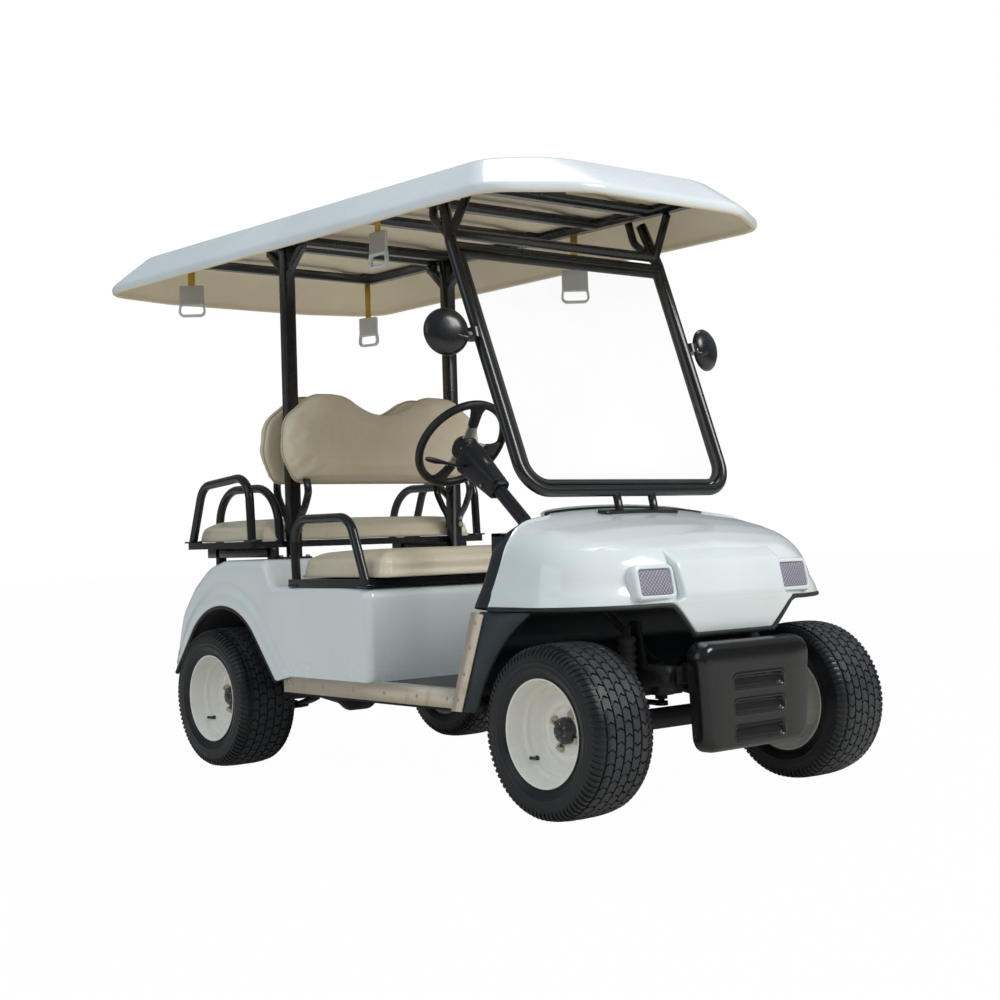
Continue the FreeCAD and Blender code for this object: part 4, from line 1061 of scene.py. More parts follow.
@dataclass(frozen=True)
class Wheel:
    """One wheel: a treaded tyre on a deep pressed rim with its cap, nuts and valve."""

    end: End
    side: Side
    centre: Point
    rib_pitch: float = 0.029
    blocks: int = 42
    lugs: int = 84
    bolt_circle: float = 0.0508
    tread_radius: float = 0.229
    shoulder_radius: float = 0.22

    def build(self) -> None:
        """Make the tyre and the rim."""
        where = f"{self.end.value}_{self.side.name.lower()}"
        place = Matrix.Translation(self.centre) @ Matrix.Diagonal((self.side.value, 1, 1, 1))
        tyre, rim = Skin(), Skin()
        tyre.merge(self.tyre(), place)
        rim.merge(self.rim(), place)
        dress(tyre.mesh(f"tyre_{where}_visual", [TYRE], 28), f"wheel_{where}", "tyre_rubber", f"tyre_{where}")
        dress(rim.mesh(f"rim_{where}_visual", [RIM_PAINT, CAP_BLACK, BRASS_ZINC], 40),
              f"wheel_{where}", "rim_white", f"rim_{where}")

    @staticmethod
    def around(x: float, turn: float, radius: float) -> Point:
        """Point at an angle from the top, rearwards, and a radius."""
        return (x, radius * math.sin(turn), radius * math.cos(turn))

    @staticmethod
    def crown(x: float) -> float:
        """Radius of the tread's top at a distance from the middle."""
        return between(((0.0, 0.2295), (0.04, 0.229), (0.0668, 0.2268), (0.09, 0.222)), abs(x))

    def tyre(self) -> Skin:
        """Carcass, chevron blocks in five ribs and a ring of shoulder lugs on each side."""
        skin = Skin()
        half = list(CARCASS)
        skin.lathe(half + [(-x, radius) for x, radius in half[-2::-1]], 120, ring=True)
        pitch = 2 * math.pi / self.blocks
        for rib in range(-2, 3):
            for number in range(self.blocks):
                self.block(skin, rib * self.rib_pitch, (number + 0.5 * (rib % 2)) * pitch, 1 if rib >= 0 else -1)
        for sign in (-1, 1):
            for number in range(self.lugs):
                self.lug(skin, sign, 2 * math.pi * number / self.lugs)
        return skin

    def block(self, skin: Skin, middle: float, turn: float, lean: int) -> None:
        """Add one chevron block.

        Args:
            skin: where it goes.
            middle: x of its middle.
            turn: its place round the tyre in radians.
            lean: sign of the chevron's point.
        """
        wide, long, point = 0.0122, 0.0145, 0.0075 * lean
        outline = ((-wide, -long), (0.0, -long + point), (wide, -long),
                   (wide, long), (0.0, long + point), (-wide, long))
        rows = []
        for grow, drop in ((1.05, 0.009), (1.0, 0.0012), (0.93, 0.0)):
            rows.append([self.around(middle + x * grow, turn + length * grow / self.tread_radius,
                                     self.crown(middle + x) - drop) for x, length in outline])
        skin.loft(rows)

    def lug(self, skin: Skin, sign: int, turn: float) -> None:
        """Add one curved lug that runs over the shoulder.

        Args:
            skin: where it goes.
            sign: side of the tyre.
            turn: its place round the tyre in radians.
        """
        rows = []
        for index, (x, radius, rise, lean) in enumerate(LUG):
            low, high = LUG[max(index - 1, 0)], LUG[min(index + 1, len(LUG) - 1)]
            run = Vector((high[0] - low[0], high[1] - low[1])).normalized()
            out_x, out_r = -run.y, run.x
            ring = []
            for width, lift in ((-0.0052, -0.003), (-0.004, rise), (0.004, rise), (0.0052, -0.003)):
                ring.append(self.around(sign * (x + out_x * lift), turn + (lean + width) / self.shoulder_radius,
                                        radius + out_r * lift))
            rows.append(ring)
        skin.loft(rows)

    def rim(self) -> Skin:
        """Pressed rim and disc with four nuts, a domed cap and a valve."""
        skin = Skin()
        skin.lathe(RIM, 96, ring=True)
        cap = ((0.002, 0.0), (0.002, 0.0355), (0.013, 0.0355), (0.0165, 0.0345), (0.019, 0.031), (0.026, 0.0275),
               (0.029, 0.024), (0.03, 0.016), (0.0295, 0.011), (0.0325, 0.0095), (0.0335, 0.006), (0.0335, 0.0))
        skin.lathe(cap, 40, 1)
        for number in range(6):
            spot = self.around(0.0285, math.radians(60 * number), 0.02)
            skin.merge(fastener(Head.DOME, 0.0022, 0.0018), Matrix.Translation(spot), 2)
        nut = fastener(Head.HEX, 0.0105, 0.013)
        nut.lathe([(0.012, 0.006), (0.016, 0.0055), (0.0185, 0.003), (0.019, 0.0)], 16)
        for number in range(4):
            turn = math.radians(62 + 90 * number)
            skin.merge(nut, Matrix.Translation(self.around(0.003, turn, self.bolt_circle)), 2)
        valve = Skin()
        valve.lathe([(0.0, 0.0), (0.0, 0.0075), (0.004, 0.0075), (0.007, 0.0045), (0.021, 0.0042), (0.022, 0.0048),
                     (0.028, 0.0048), (0.029, 0.004), (0.029, 0.0)], 16)
        spot = self.around(0.03, math.radians(130), 0.119)
        tip = self.around(0.06, math.radians(130), 0.112)
        skin.merge(valve, along(spot, tip), 1)
        return skin


# Cowl -------------------------------------------------------------------------------------------

# x, y of the cowl's foot in plan, from the cabin forwards to the middle
COWL_PLAN = ((0.5455, -0.84), (0.5435, -0.9), (0.54, -0.965), (0.529, -1.03), (0.503, -1.09),
             (0.46, -1.14), (0.415, -1.17), (0.37, -1.1885), (0.32, -1.203), (0.27, -1.2125),
             (0.21, -1.218), (0.105, -1.22), (0.0, -1.22))
# y, z of the cowl's crown in the middle
COWL_CROWN = ((-1.225, 0.656), (-1.2, 0.673), (-1.16, 0.702), (-1.1, 0.731), (-1.03, 0.756),
              (-0.96, 0.776), (-0.89, 0.7925), (-0.84, 0.803), (-0.8, 0.8095), (-0.76, 0.812))
# z, y of the cowl's rear edge
COWL_REAR = ((0.547, -0.84), (0.583, -0.85), (0.6135, -0.86), (0.674, -0.87), (0.729, -0.87), (0.765, -0.86),
             (0.78, -0.85), (0.789, -0.84), (0.7965, -0.8), (0.806, -0.784), (0.812, -0.78))


def flowing(table: Sequence[Sequence[float]], count: int) -> list[Vector]:
    """Smooth curve through points.

    Args:
        table: the points, in the plane or in space.
        count: number of points wanted, evenly spread along the table.

    Returns:
        The curve's points.
    """
    spots = [Vector(point).to_3d() for point in table]
    curve = []
    for step in range(count):
        share = step * (len(spots) - 1) / (count - 1)
        index = min(int(share), len(spots) - 2)
        t = share - index
        p0, p1, p2, p3 = (spots[min(max(index + offset, 0), len(spots) - 1)] for offset in (-1, 0, 1, 2))
        curve.append(0.5 * (2 * p1 + (p2 - p0) * t + (2 * p0 - 5 * p1 + 4 * p2 - p3) * t * t
                            + (3 * p1 - p0 - 3 * p2 + p3) * t ** 3))
    return curve


@dataclass(frozen=True)
class Cowl:
    """Front shell: arched hood, rounded shoulders, lamp surrounds, centre block and rubber edging."""

    foot_z: float = 0.549
    spine: Flat = (-0.78, -1.105)
    lean: float = 0.287
    drop: float = 0.15
    stations: int = 64
    columns: int = 34
    thickness: float = 0.005
    lamp_middle: Point = (0.2745, -1.205, 0.6065)
    lamp_yaw: float = 3.0

    def build(self) -> None:
        """Make the shell, the lamps and the edging."""
        dress(self.shell(), "cart", "body_white", "front_cowl")
        dress(self.details().mesh("cowl_face", [PANEL], 30), "cart", "body_white", "front_cowl")
        dress(self.lenses(), "cart", "lens", "headlamps")
        dress(self.edging(), "cart", "rubber_black")

    def height(self, y: float, x: float) -> float:
        """Height of the crown over a point."""
        return between(COWL_CROWN, y) - self.drop * x * x

    def section(self, foot: Vector, inner: Vector, share: float) -> list[Vector]:
        """Points from the foot up the wall, over the shoulder and in to the spine.

        Args:
            foot: point of the plan curve.
            inner: point of the spine that the section runs to.
            share: 0 at the cabin, 1 at the middle of the front.

        Returns:
            Evenly spread points.
        """
        reach = (foot - inner).length
        rear = 1.0 - smoothstep(share, 0.0, 0.2)
        blend = between(((0.0, 0.085), (0.45, 0.08), (0.62, 0.04), (1.0, 0.03)), share)
        flare = between(((0.0, 0.0), (0.15, 0.004), (0.5, 0.01), (0.75, 0.012), (1.0, 0.006)), share)
        soft_z = 0.583 + 0.014 * share

        def spot(distance: float, z: float) -> Vector:
            flat = inner.lerp(foot, distance / reach)
            flat.y += rear * (between(COWL_REAR, z) - flat.y)
            return Vector((flat.x, flat.y, z))

        def outside(distance: float, z: float) -> float:
            here = spot(distance, z)
            lip = flare * (1.0 - smoothstep(z, soft_z - 0.016, soft_z + 0.006))
            wall = (distance - reach + self.lean * (z - self.foot_z) + flare - lip) * 0.96
            top = z - self.height(here.y, here.x)
            near = max(blend - abs(wall - top), 0.0)
            return max(wall, top) + near * near / (4 * blend)

        dense = []
        for step in range(121):
            turn = math.radians(90 * step / 120)
            low, high = 0.0, 0.75
            for _ in range(26):
                middle = (low + high) / 2
                if outside(middle * math.cos(turn), self.foot_z + middle * math.sin(turn)) > 0:
                    high = middle
                else:
                    low = middle
            dense.append(spot(low * math.cos(turn), self.foot_z + low * math.sin(turn)))
        return evenly(dense, self.columns)

    def shell(self) -> bpy.types.Object:
        """The hood and its front as one thin skin."""
        skin = Skin()
        plan = flowing([(x, y, 0.0) for x, y in COWL_PLAN], self.stations)
        rear, front = self.spine
        shares = [index / (self.stations - 1) for index in range(self.stations)]
        rows = [self.section(foot, Vector((0.0, rear + (front - rear) * share, 0.0)), share)
                for foot, share in zip(plan, shares)]
        skin.loft_pair(rows)
        return even_shade(thicken(skin.mesh("cowl_shell", [PANEL], 50, weld=0.0004), self.thickness))

    def details(self) -> Skin:
        """Raised centre block with its chin, and the two lamp surrounds."""
        skin = Skin()
        # z, half width, y of the front
        levels = ((0.4665, 0.146, -1.226), (0.469, 0.155, -1.2305), (0.474, 0.161, -1.2325),
                  (0.5, 0.186, -1.2355), (0.5375, 0.2225, -1.2385), (0.549, 0.236, -1.2395),
                  (0.553, 0.236, -1.24), (0.557, 0.215, -1.2405), (0.5625, 0.204, -1.2422),
                  (0.569, 0.2015, -1.243), (0.576, 0.201, -1.242), (0.61, 0.2035, -1.232),
                  (0.64, 0.206, -1.2225), (0.651, 0.2075, -1.2185), (0.6575, 0.2085, -1.215),
                  (0.6625, 0.209, -1.209), (0.676, 0.21, -1.1905), (0.69, 0.211, -1.169))
        rings = []
        for z, half, front in levels:
            back = -1.15 if z > 0.55 else front + 0.013
            corners = [(-half, back, z), (-half, front, z), (half, front, z), (half, back, z)]
            rings.append(rounded(corners, [0, 0.011, 0.011, 0], 6, closed=True))
        skin.loft(rings)
        for side in Side:
            skin.merge(self.surround(), self.lamp_place(side))
        return skin

    def lamp_place(self, side: Side) -> Matrix:
        """Frame of one lamp: X across it, Y out of it, Z up.

        Args:
            side: which lamp.

        Returns:
            Its matrix.
        """
        turn = Matrix.Rotation(math.radians(180 + self.lamp_yaw), 4, "Z") @ Matrix.Rotation(math.radians(12), 4, "X")
        return Matrix.Diagonal((side.value, 1, 1, 1)) @ Matrix.Translation(self.lamp_middle) @ turn

    @staticmethod
    def square(half_x: float, half_z: float, radius: float, y: float) -> list[Vector]:
        """Rounded square that faces along Y."""
        corners = [(-half_x, y, -half_z), (half_x, y, -half_z), (half_x, y, half_z), (-half_x, y, half_z)]
        return rounded(corners, [radius] * 4, 7, closed=True)

    def surround(self) -> Skin:
        """Raised frame round one lamp, with the pocket for its lens."""
        skin = Skin()
        # half width, half height, corner radius, distance out
        rings = ((0.075, 0.052, 0.022, -0.05), (0.073, 0.049, 0.021, -0.006), (0.07, 0.046, 0.019, 0.001),
                 (0.066, 0.043, 0.017, 0.0042), (0.06, 0.0395, 0.012, 0.0055), (0.0575, 0.0365, 0.0095, 0.005),
                 (0.056, 0.035, 0.009, 0.003), (0.0545, 0.0335, 0.008, -0.016))
        skin.loft([self.square(*ring) for ring in rings], caps=False)
        return skin

    def lenses(self) -> bpy.types.Object:
        """Both lenses with a shallow bulge and a bright back."""
        skin = Skin()
        for side in Side:
            lens = Skin()
            rings = ((0.0555, 0.0342, 0.0085, -0.014), (0.0555, 0.0342, 0.0085, -0.0005),
                     (0.0535, 0.0322, 0.008, 0.002), (0.041, 0.024, 0.006, 0.0034),
                     (0.021, 0.012, 0.003, 0.004))
            lens.loft([self.square(*ring) for ring in rings])
            skin.merge(lens, self.lamp_place(side))
        return skin.mesh("lamp_lenses", [LENS], 30)

    def edging(self) -> bpy.types.Object:
        """Rubber edging from one rear corner round under the chin to the other."""
        skin = Skin()
        plan = [(x - 0.003, y, self.foot_z - 0.0045) for x, y in COWL_PLAN[:9]]
        route = plan + [(0.246, -1.2235, 0.5445), (0.2225, -1.2325, 0.531), (0.162, -1.229, 0.4675),
                        (0.146, -1.227, 0.4625)]
        smooth = flowing(route, 60)
        smooth += [Vector((-x, y, z)) for x, y, z in reversed(smooth)]
        skin.tube(smooth, 0.0065, 10, up=(0, 0, 1))
        return skin.mesh("cowl_edging", [EDGE_RUBBER])


# Rear body --------------------------------------------------------------------------------------

# y, z, rounding of the rear body's outline from the foot of the seat box over the deck to the tail
BODY_OUTLINE = ((-0.265, 0.318, 0.0), (-0.265, 0.598, 0.036), (0.268, 0.598, 0.03), (0.302, 0.684, 0.034),
                (0.57, 0.684, 0.16), (0.668, 0.66, 0.16), (0.762, 0.597, 0.16), (0.846, 0.508, 0.16),
                (0.884, 0.4, 0.16), (0.9, 0.306, 0.0))


@dataclass(frozen=True)
class RearBody:
    """Seat box, deck and rear wings as one thin moulding, with near-black wheel wells that paint the shade inside the
    arches, and arch edging.
    """

    half_width: float = 0.535
    arch_centre: Flat = (0.562, 0.262)
    arch_radius: float = 0.27
    samples: int = 150
    thickness: float = 0.005
    band_foot: Flat = (0.15, 0.318)
    well_inner: float = 0.345
    band_start: float = 0.385
    arch_start: float = 0.405

    def build(self) -> None:
        """Make the moulding, the wells and the edging."""
        dress(self.moulding(), "cart", "body_white", "rear_body")
        dress(self.wells(), "cart", "body_white", "rear_body")
        dress(self.edging(), "cart", "rubber_black", "edge_trim")

    def arch(self, grow: float = 0.0, count: int = 90) -> list[Flat]:
        """Edge of the wheel arch from its front foot to its rear foot.

        Args:
            grow: distance outside the edge.
            count: number of points.

        Returns:
            Points (y, z).
        """
        y, z = self.arch_centre
        top = arc((y, z), self.arch_radius + grow, 135, 45, 31)
        foot = 0.325 + grow * 1.2
        run = [(y - foot, 0.298)] + top + [(y + foot, 0.298)]
        return self.spread(run, count)

    @staticmethod
    def spread(run: Sequence[Flat], count: int) -> list[Flat]:
        """Evenly spread points along a run of straight lines."""
        return [point[:2] for point in evenly([Vector((*spot, 0.0)) for spot in run], count)]

    def outline(self) -> list[Flat]:
        """Evenly spread points on the outline."""
        corners = [(0.0, y, z) for y, z, _ in BODY_OUTLINE]
        route = rounded(corners, [radius for _, _, radius in BODY_OUTLINE], 8)
        return self.spread([(point.y, point.z) for point in route], self.samples)

    def inner(self) -> list[Flat]:
        """Lower edge matched to the outline: the foot line, then the arch."""
        arch = self.arch(0.0, 101)
        run = []
        # share of the outline, y on the foot line
        start_y, start_z = self.band_foot
        foot = ((0.0, -0.205), (0.16, -0.165), (0.3, 0.02), (self.band_start, start_y))
        for step in range(self.samples):
            share = step / (self.samples - 1)
            if share <= self.band_start:
                run.append((between(foot, share), start_z))
                continue
            if share <= self.arch_start:
                part = (share - self.band_start) / (self.arch_start - self.band_start)
                run.append((start_y + (arch[0][0] - start_y) * part, start_z + (arch[0][1] - start_z) * part))
                continue
            place = (share - self.arch_start) / (1 - self.arch_start) * 100
            low = min(int(place), 99)
            part = place - low
            run.append(tuple(arch[low][axis] * (1 - part) + arch[low + 1][axis] * part for axis in range(2)))
        return run

    def band_edge(self, inner: list[Flat], bands: list[float]) -> list[Flat]:
        """Outer edge of the raised band round the arch, which starts on the foot line.

        Args:
            inner: the lower edge.
            bands: width of the band at each point.

        Returns:
            One point for each point of the lower edge.
        """
        edge = self.inwards(inner, [-band for band in bands])
        first = math.ceil(self.arch_start * (self.samples - 1)) + 2
        start = math.floor(self.band_start * (self.samples - 1))
        for step in range(start, first):
            part = (step - start) / (first - start)
            edge[step] = tuple(value + (end - value) * part for value, end in zip(self.band_foot, edge[first]))
        edge[:start] = inner[:start]
        return edge

    @staticmethod
    def inwards(run: Sequence[Flat], distances: Sequence[float]) -> list[Flat]:
        """Shift each point of a run to its right by its own distance."""
        shifted = []
        for index, (y, z) in enumerate(run):
            back, ahead = run[max(index - 1, 0)], run[min(index + 1, len(run) - 1)]
            step = Vector((ahead[0] - back[0], ahead[1] - back[1]))
            step = step.normalized() if step.length > 1e-9 else Vector((1, 0))
            shifted.append((y + step.y * distances[index], z - step.x * distances[index]))
        return shifted

    def moulding(self) -> bpy.types.Object:
        """Both sides and the skin between them."""
        outer, inner = self.outline(), self.inner()
        widths = [math.dist(first, second) for first, second in zip(outer, inner)]
        shares = [step / (self.samples - 1) for step in range(self.samples)]
        sizes = ((0.0, 0.03), (0.17, 0.03), (0.24, 0.016), (0.38, 0.018), (0.5, 0.026), (1.0, 0.024))
        rolls = [between(sizes, share)
                 for share in shares]
        rolls = [min(roll, width * 0.45) for roll, width in zip(rolls, widths)]
        bands = [0.078 if share > self.band_start else 0.0 for share in shares]
        bands = [min(band, width * 0.55) for band, width in zip(bands, widths)]
        edge = self.band_edge(inner, bands)
        rows: list[list[Point]] = []
        for step in range(9):
            turn = math.radians(90 * step / 8)
            spots = self.inwards(outer, [roll * (1 - math.cos(turn)) for roll in rolls])
            rows.append([(self.half_width - roll * (1 - math.sin(turn)), y, z) for roll, (y, z) in zip(rolls, spots)])
        flat = [(y, z) for _, y, z in rows[-1]]
        # share of the band's width from the arch edge, how far the band stands out
        steps = ((1.0, 0.0), (0.86, 0.0006), (0.75, 0.0035), (0.64, 0.0078), (0.52, 0.0098), (0.36, 0.0105),
                 (0.2, 0.0105), (0.08, 0.0105), (0.03, 0.0085), (0.0, 0.0045))
        band_rows = []
        for share, rise in steps:
            spots = [(y0 + (y1 - y0) * share, z0 + (z1 - z0) * share) for (y0, z0), (y1, z1) in zip(inner, edge)]
            lifts = [rise * min(band / 0.05, 1.0) for band in bands]
            band_rows.append([(self.half_width + lift, y, z) for lift, (y, z) in zip(lifts, spots)])
        for step in range(1, 9):
            part = step / 9
            rows.append([(self.half_width, y0 + (y1 - y0) * part, z0 + (z1 - z0) * part)
                         for (y0, z0), (_, y1, z1) in zip(flat, band_rows[0])])
        rows += band_rows
        skin = Skin()
        skin.loft_pair(rows)
        across = [[(x * part / 7, y, z) for x, y, z in rows[0]] for part in range(7, -8, -1)]
        skin.loft(across, closed=False)
        return even_shade(thicken(skin.mesh("rear_body_moulding", [PANEL], 60, weld=0.0003), self.thickness))

    def wells(self) -> bpy.types.Object:
        """Lining over each rear wheel, closed on its inner side, made near-black as painted shade inside the arch."""
        skin = Skin()
        path = self.arch(-0.004, 60)
        outer = self.half_width + 0.0015
        for side in Side:
            rows = [[(side.value * x, y, z) for y, z in path] for x in (outer, self.well_inner, self.well_inner)]
            middle_y = self.arch_centre[0]
            rows[2] = [(side.value * self.well_inner, middle_y + (y - middle_y) * 0.02, 0.3) for y, _ in path]
            skin.loft(rows, closed=False)
        # near-black lining: painted shade inside the arch
        return thicken(skin.mesh("rear_wheel_wells", [LINER_DARK], 40), 0.003, 0.0)

    def edging(self) -> bpy.types.Object:
        """Rubber bead round each arch with a short foot at both ends."""
        skin = Skin()
        for side in Side:
            route = [(side.value * (self.half_width + 0.003), y, z) for y, z in self.arch(-0.003, 70)]
            skin.tube(route, 0.0075, 12, up=(1, 0, 0))
        return skin.mesh("arch_edging", [EDGE_RUBBER])


# Roof -------------------------------------------------------------------------------------------

# share of the slope from the lip to the crease, z: outside, then inside from the lip up
ROOF_OUTSIDE = ((0.1, 1.6545), (0.07, 1.6525), (0.04, 1.6532), (0.015, 1.657), (0.002, 1.6625), (0.0, 1.668),
                (0.004, 1.6735), (0.02, 1.679), (0.045, 1.6832), (0.1, 1.69), (0.5, 1.731), (0.9, 1.7705),
                (0.94, 1.7738), (0.98, 1.7762), (1.03, 1.7785), (1.1, 1.7805))
ROOF_INSIDE_RUN = ((0.1, 1.6545), (0.135, 1.657), (0.145, 1.663), (0.16, 1.67), (0.2, 1.6765), (0.6, 1.718),
                   (0.97, 1.756), (1.03, 1.762), (1.1, 1.7665), (1.16, 1.769))


@dataclass(frozen=True)
class Roof:
    """Moulded roof: rolled lip, sloping sides, crowned top, and a bare laminate underside whose cream, on the lip's
    underside too, partly paints warm light bounced from the ground.
    """

    # half width, y of the corner and y of the middle at the widest, then how far each shifts up to the crease
    front: tuple[float, float, float] = (0.552, -0.887, -1.037)
    rear: tuple[float, float, float] = (0.606, 1.237, 1.315)
    crease_half: float = 0.506
    front_draw: tuple[float, float, float] = (-0.1, 0.122, 0.147)
    rear_draw: tuple[float, float, float] = (-0.1, -0.112, -0.115)
    bow_x: float = 0.3
    crown: float = 0.018
    crown_run: float = 0.16
    tilt: float = 0.3
    pivot: Point = (0.0, 0.16, 1.752)

    def half_ring(self, share: float, z: float) -> list[Vector]:
        """Left half of the outline at one level.

        Args:
            share: 0 at the lip, 1 at the crease.
            z: height.

        Returns:
            Points from the middle of the front to the middle of the rear.
        """
        front, rear = ([value + draw * share for value, draw in zip(widest, draws)]
                       for widest, draws in ((self.front, self.front_draw), (self.rear, self.rear_draw)))
        corners = [(0, front[2], z), (self.bow_x, front[2], z), (front[0], front[1], z), (rear[0], rear[1], z),
                   (self.bow_x, rear[2], z), (0, rear[2], z)]
        return rounded(corners, [0, 0.25, 0.125, 0.125, 0.35, 0], 9)

    def build(self) -> None:
        """Make the shell."""
        skin = Skin()
        for run, base, tint in ((ROOF_OUTSIDE, 1.7785, 0), (ROOF_INSIDE_RUN, 1.767, 1)):
            rows = [self.half_ring(share, z) for share, z in run]
            # underside and the lip's lowest rows take the cream laminate, whose warmth is partly painted ground
            # bounce
            tints = [1 if tint or z < 1.662 and index < 3 else 0 for index, (_, z) in enumerate(run)]
            edge = rows[-1]
            for step in range(1, 9):
                part = 1 - smoothstep(step / 8, -0.6, 1.0) if step < 8 else 0.0
                row = []
                for point in edge:
                    x = point.x * part
                    inside = smoothstep(min(point.y - edge[0].y, edge[-1].y - point.y), 0.0, self.crown_run)
                    rise = self.crown * (1 - (x / self.crease_half) ** 2) * inside
                    level = max(base + rise, point.z)
                    level = (level + point.z) / 2 if step == 1 else level
                    row.append((x, point.y, level))
                rows.append(row)
                tints.append(tint)
            skin.loft_pair(rows, tints)
        turn = Matrix.Rotation(math.radians(-self.tilt), 4, "X")
        place = Matrix.Translation(self.pivot) @ turn @ Matrix.Translation(-Vector(self.pivot))
        whole = Skin()
        whole.merge(skin, place)
        piece = whole.mesh("roof_shell", [ROOF_WHITE, ROOF_INSIDE], 40, weld=0.0003)
        dress(piece, "cart", "roof_white", "roof_canopy")


# Seats ------------------------------------------------------------------------------------------


@dataclass(frozen=True)
class Pad:
    """One stuffed vinyl piece, swollen by cloth simulation over its closed form."""

    name: str
    node: str
    fill: float
    voxel: float = 0.0075
    cap: float = 0.012
    pressure: float = 4.0

    def skin(self) -> Skin:
        """Closed form before it swells."""
        raise NotImplementedError

    def held(self, point: Vector) -> float:
        """Share of the cap by which a point may move; 0 where the pad rests on its board."""
        raise NotImplementedError

    def welts(self) -> Skin:
        """Piping sewn into the seams."""
        raise NotImplementedError

    def build(self) -> None:
        """Make the pad and its piping."""
        piece = self.skin().mesh(self.name, [SEAT_VINYL], 180)
        self.swell(piece)
        dress(piece, "cart", "vinyl_beige", self.node)
        dress(self.welts().mesh(self.name + "_piping", [PIPING]), "cart", "vinyl_beige")

    def swell(self, piece: bpy.types.Object) -> None:
        """Inflate the pad as cloth, cap the movement and keep the result."""
        remesh = piece.modifiers.new("even_mesh", "REMESH")
        remesh.mode = "VOXEL"
        remesh.voxel_size = self.voxel
        settle(piece)
        before = [point.co.copy() for point in piece.data.vertices]
        group = piece.vertex_groups.new(name="board")
        for index, spot in enumerate(before):
            share = self.held(spot)
            if share < 1.0:
                group.add([index], 1.0 - share, "REPLACE")
        cloth = piece.modifiers.new("stuffing", "CLOTH")
        cloth.settings.use_pressure = True
        cloth.settings.uniform_pressure_force = self.pressure
        cloth.settings.effector_weights.gravity = 0.0
        cloth.settings.vertex_group_mass = "board"
        cloth.settings.quality = 4
        scene = bpy.context.scene
        for frame in range(1, 21):
            scene.frame_set(frame)
        graph = bpy.context.evaluated_depsgraph_get()
        swollen = [point.co.copy() for point in piece.evaluated_get(graph).data.vertices]
        piece.modifiers.clear()
        scene.frame_set(1)
        for point, old, new in zip(piece.data.vertices, before, swollen):
            step = new - old
            limit = self.cap * self.held(old)
            if step.length > limit:
                step = step.normalized() * limit
            point.co = old + step
        smooth = piece.modifiers.new("relax", "SMOOTH")
        smooth.factor = 0.5
        smooth.iterations = 4
        settle(piece)
        subdivide(piece, 1)
        piece.data.shade_smooth()
        LOG.info("%s: %d points after swelling", piece.name, len(piece.data.vertices))


@dataclass(frozen=True)
class Bench(Pad):
    """Seat cushion: crowned top, sides that pull in between the corners, flat underside."""

    half_x: float = 0.49
    rear_y: float = 0.16
    front_y: float = -0.296
    low: float = 0.6255
    high: float = 0.69
    corner: float = 0.03
    crown: float = 0.012

    def outline(self, inset: float, z: float) -> list[Vector]:
        """Plan of the cushion, drawn in between its corners.

        Args:
            inset: distance inside the widest outline.
            z: height.

        Returns:
            Points of the ring.
        """
        x, low, high = self.half_x - inset, self.front_y + inset, self.rear_y - inset
        corners: list[Point] = [(-x, low, z), (x, low, z), (x, high, z), (-x, high, z)]
        return even_ring(corners, self.corner)

    def skin(self) -> Skin:
        """Rings up the side and in over the top."""
        skin = Skin()
        tall = self.high - self.low
        rings = []
        for inset, height in ((0.03, 0.0), (0.006, 0.0), (0.001, 0.06), (0.0, 0.2), (0.0, 0.62), (0.002, 0.8),
                              (0.008, 0.93), (0.018, 1.0), (0.045, 1.05), (0.1, 1.11), (0.17, 1.15)):
            rings.append(self.outline(inset, self.low + tall * height))
        skin.loft(rings)
        return skin

    def held(self, point: Vector) -> float:
        """Free over the top and sides, fixed on the board."""
        return smoothstep(point.z, self.low + 0.002, self.low + 0.022)

    def welts(self) -> Skin:
        """Piping under the edge of the top."""
        skin = Skin()
        skin.tube(self.outline(-0.0012, self.low + 0.004), 0.0032, 8, closed=True)
        return skin


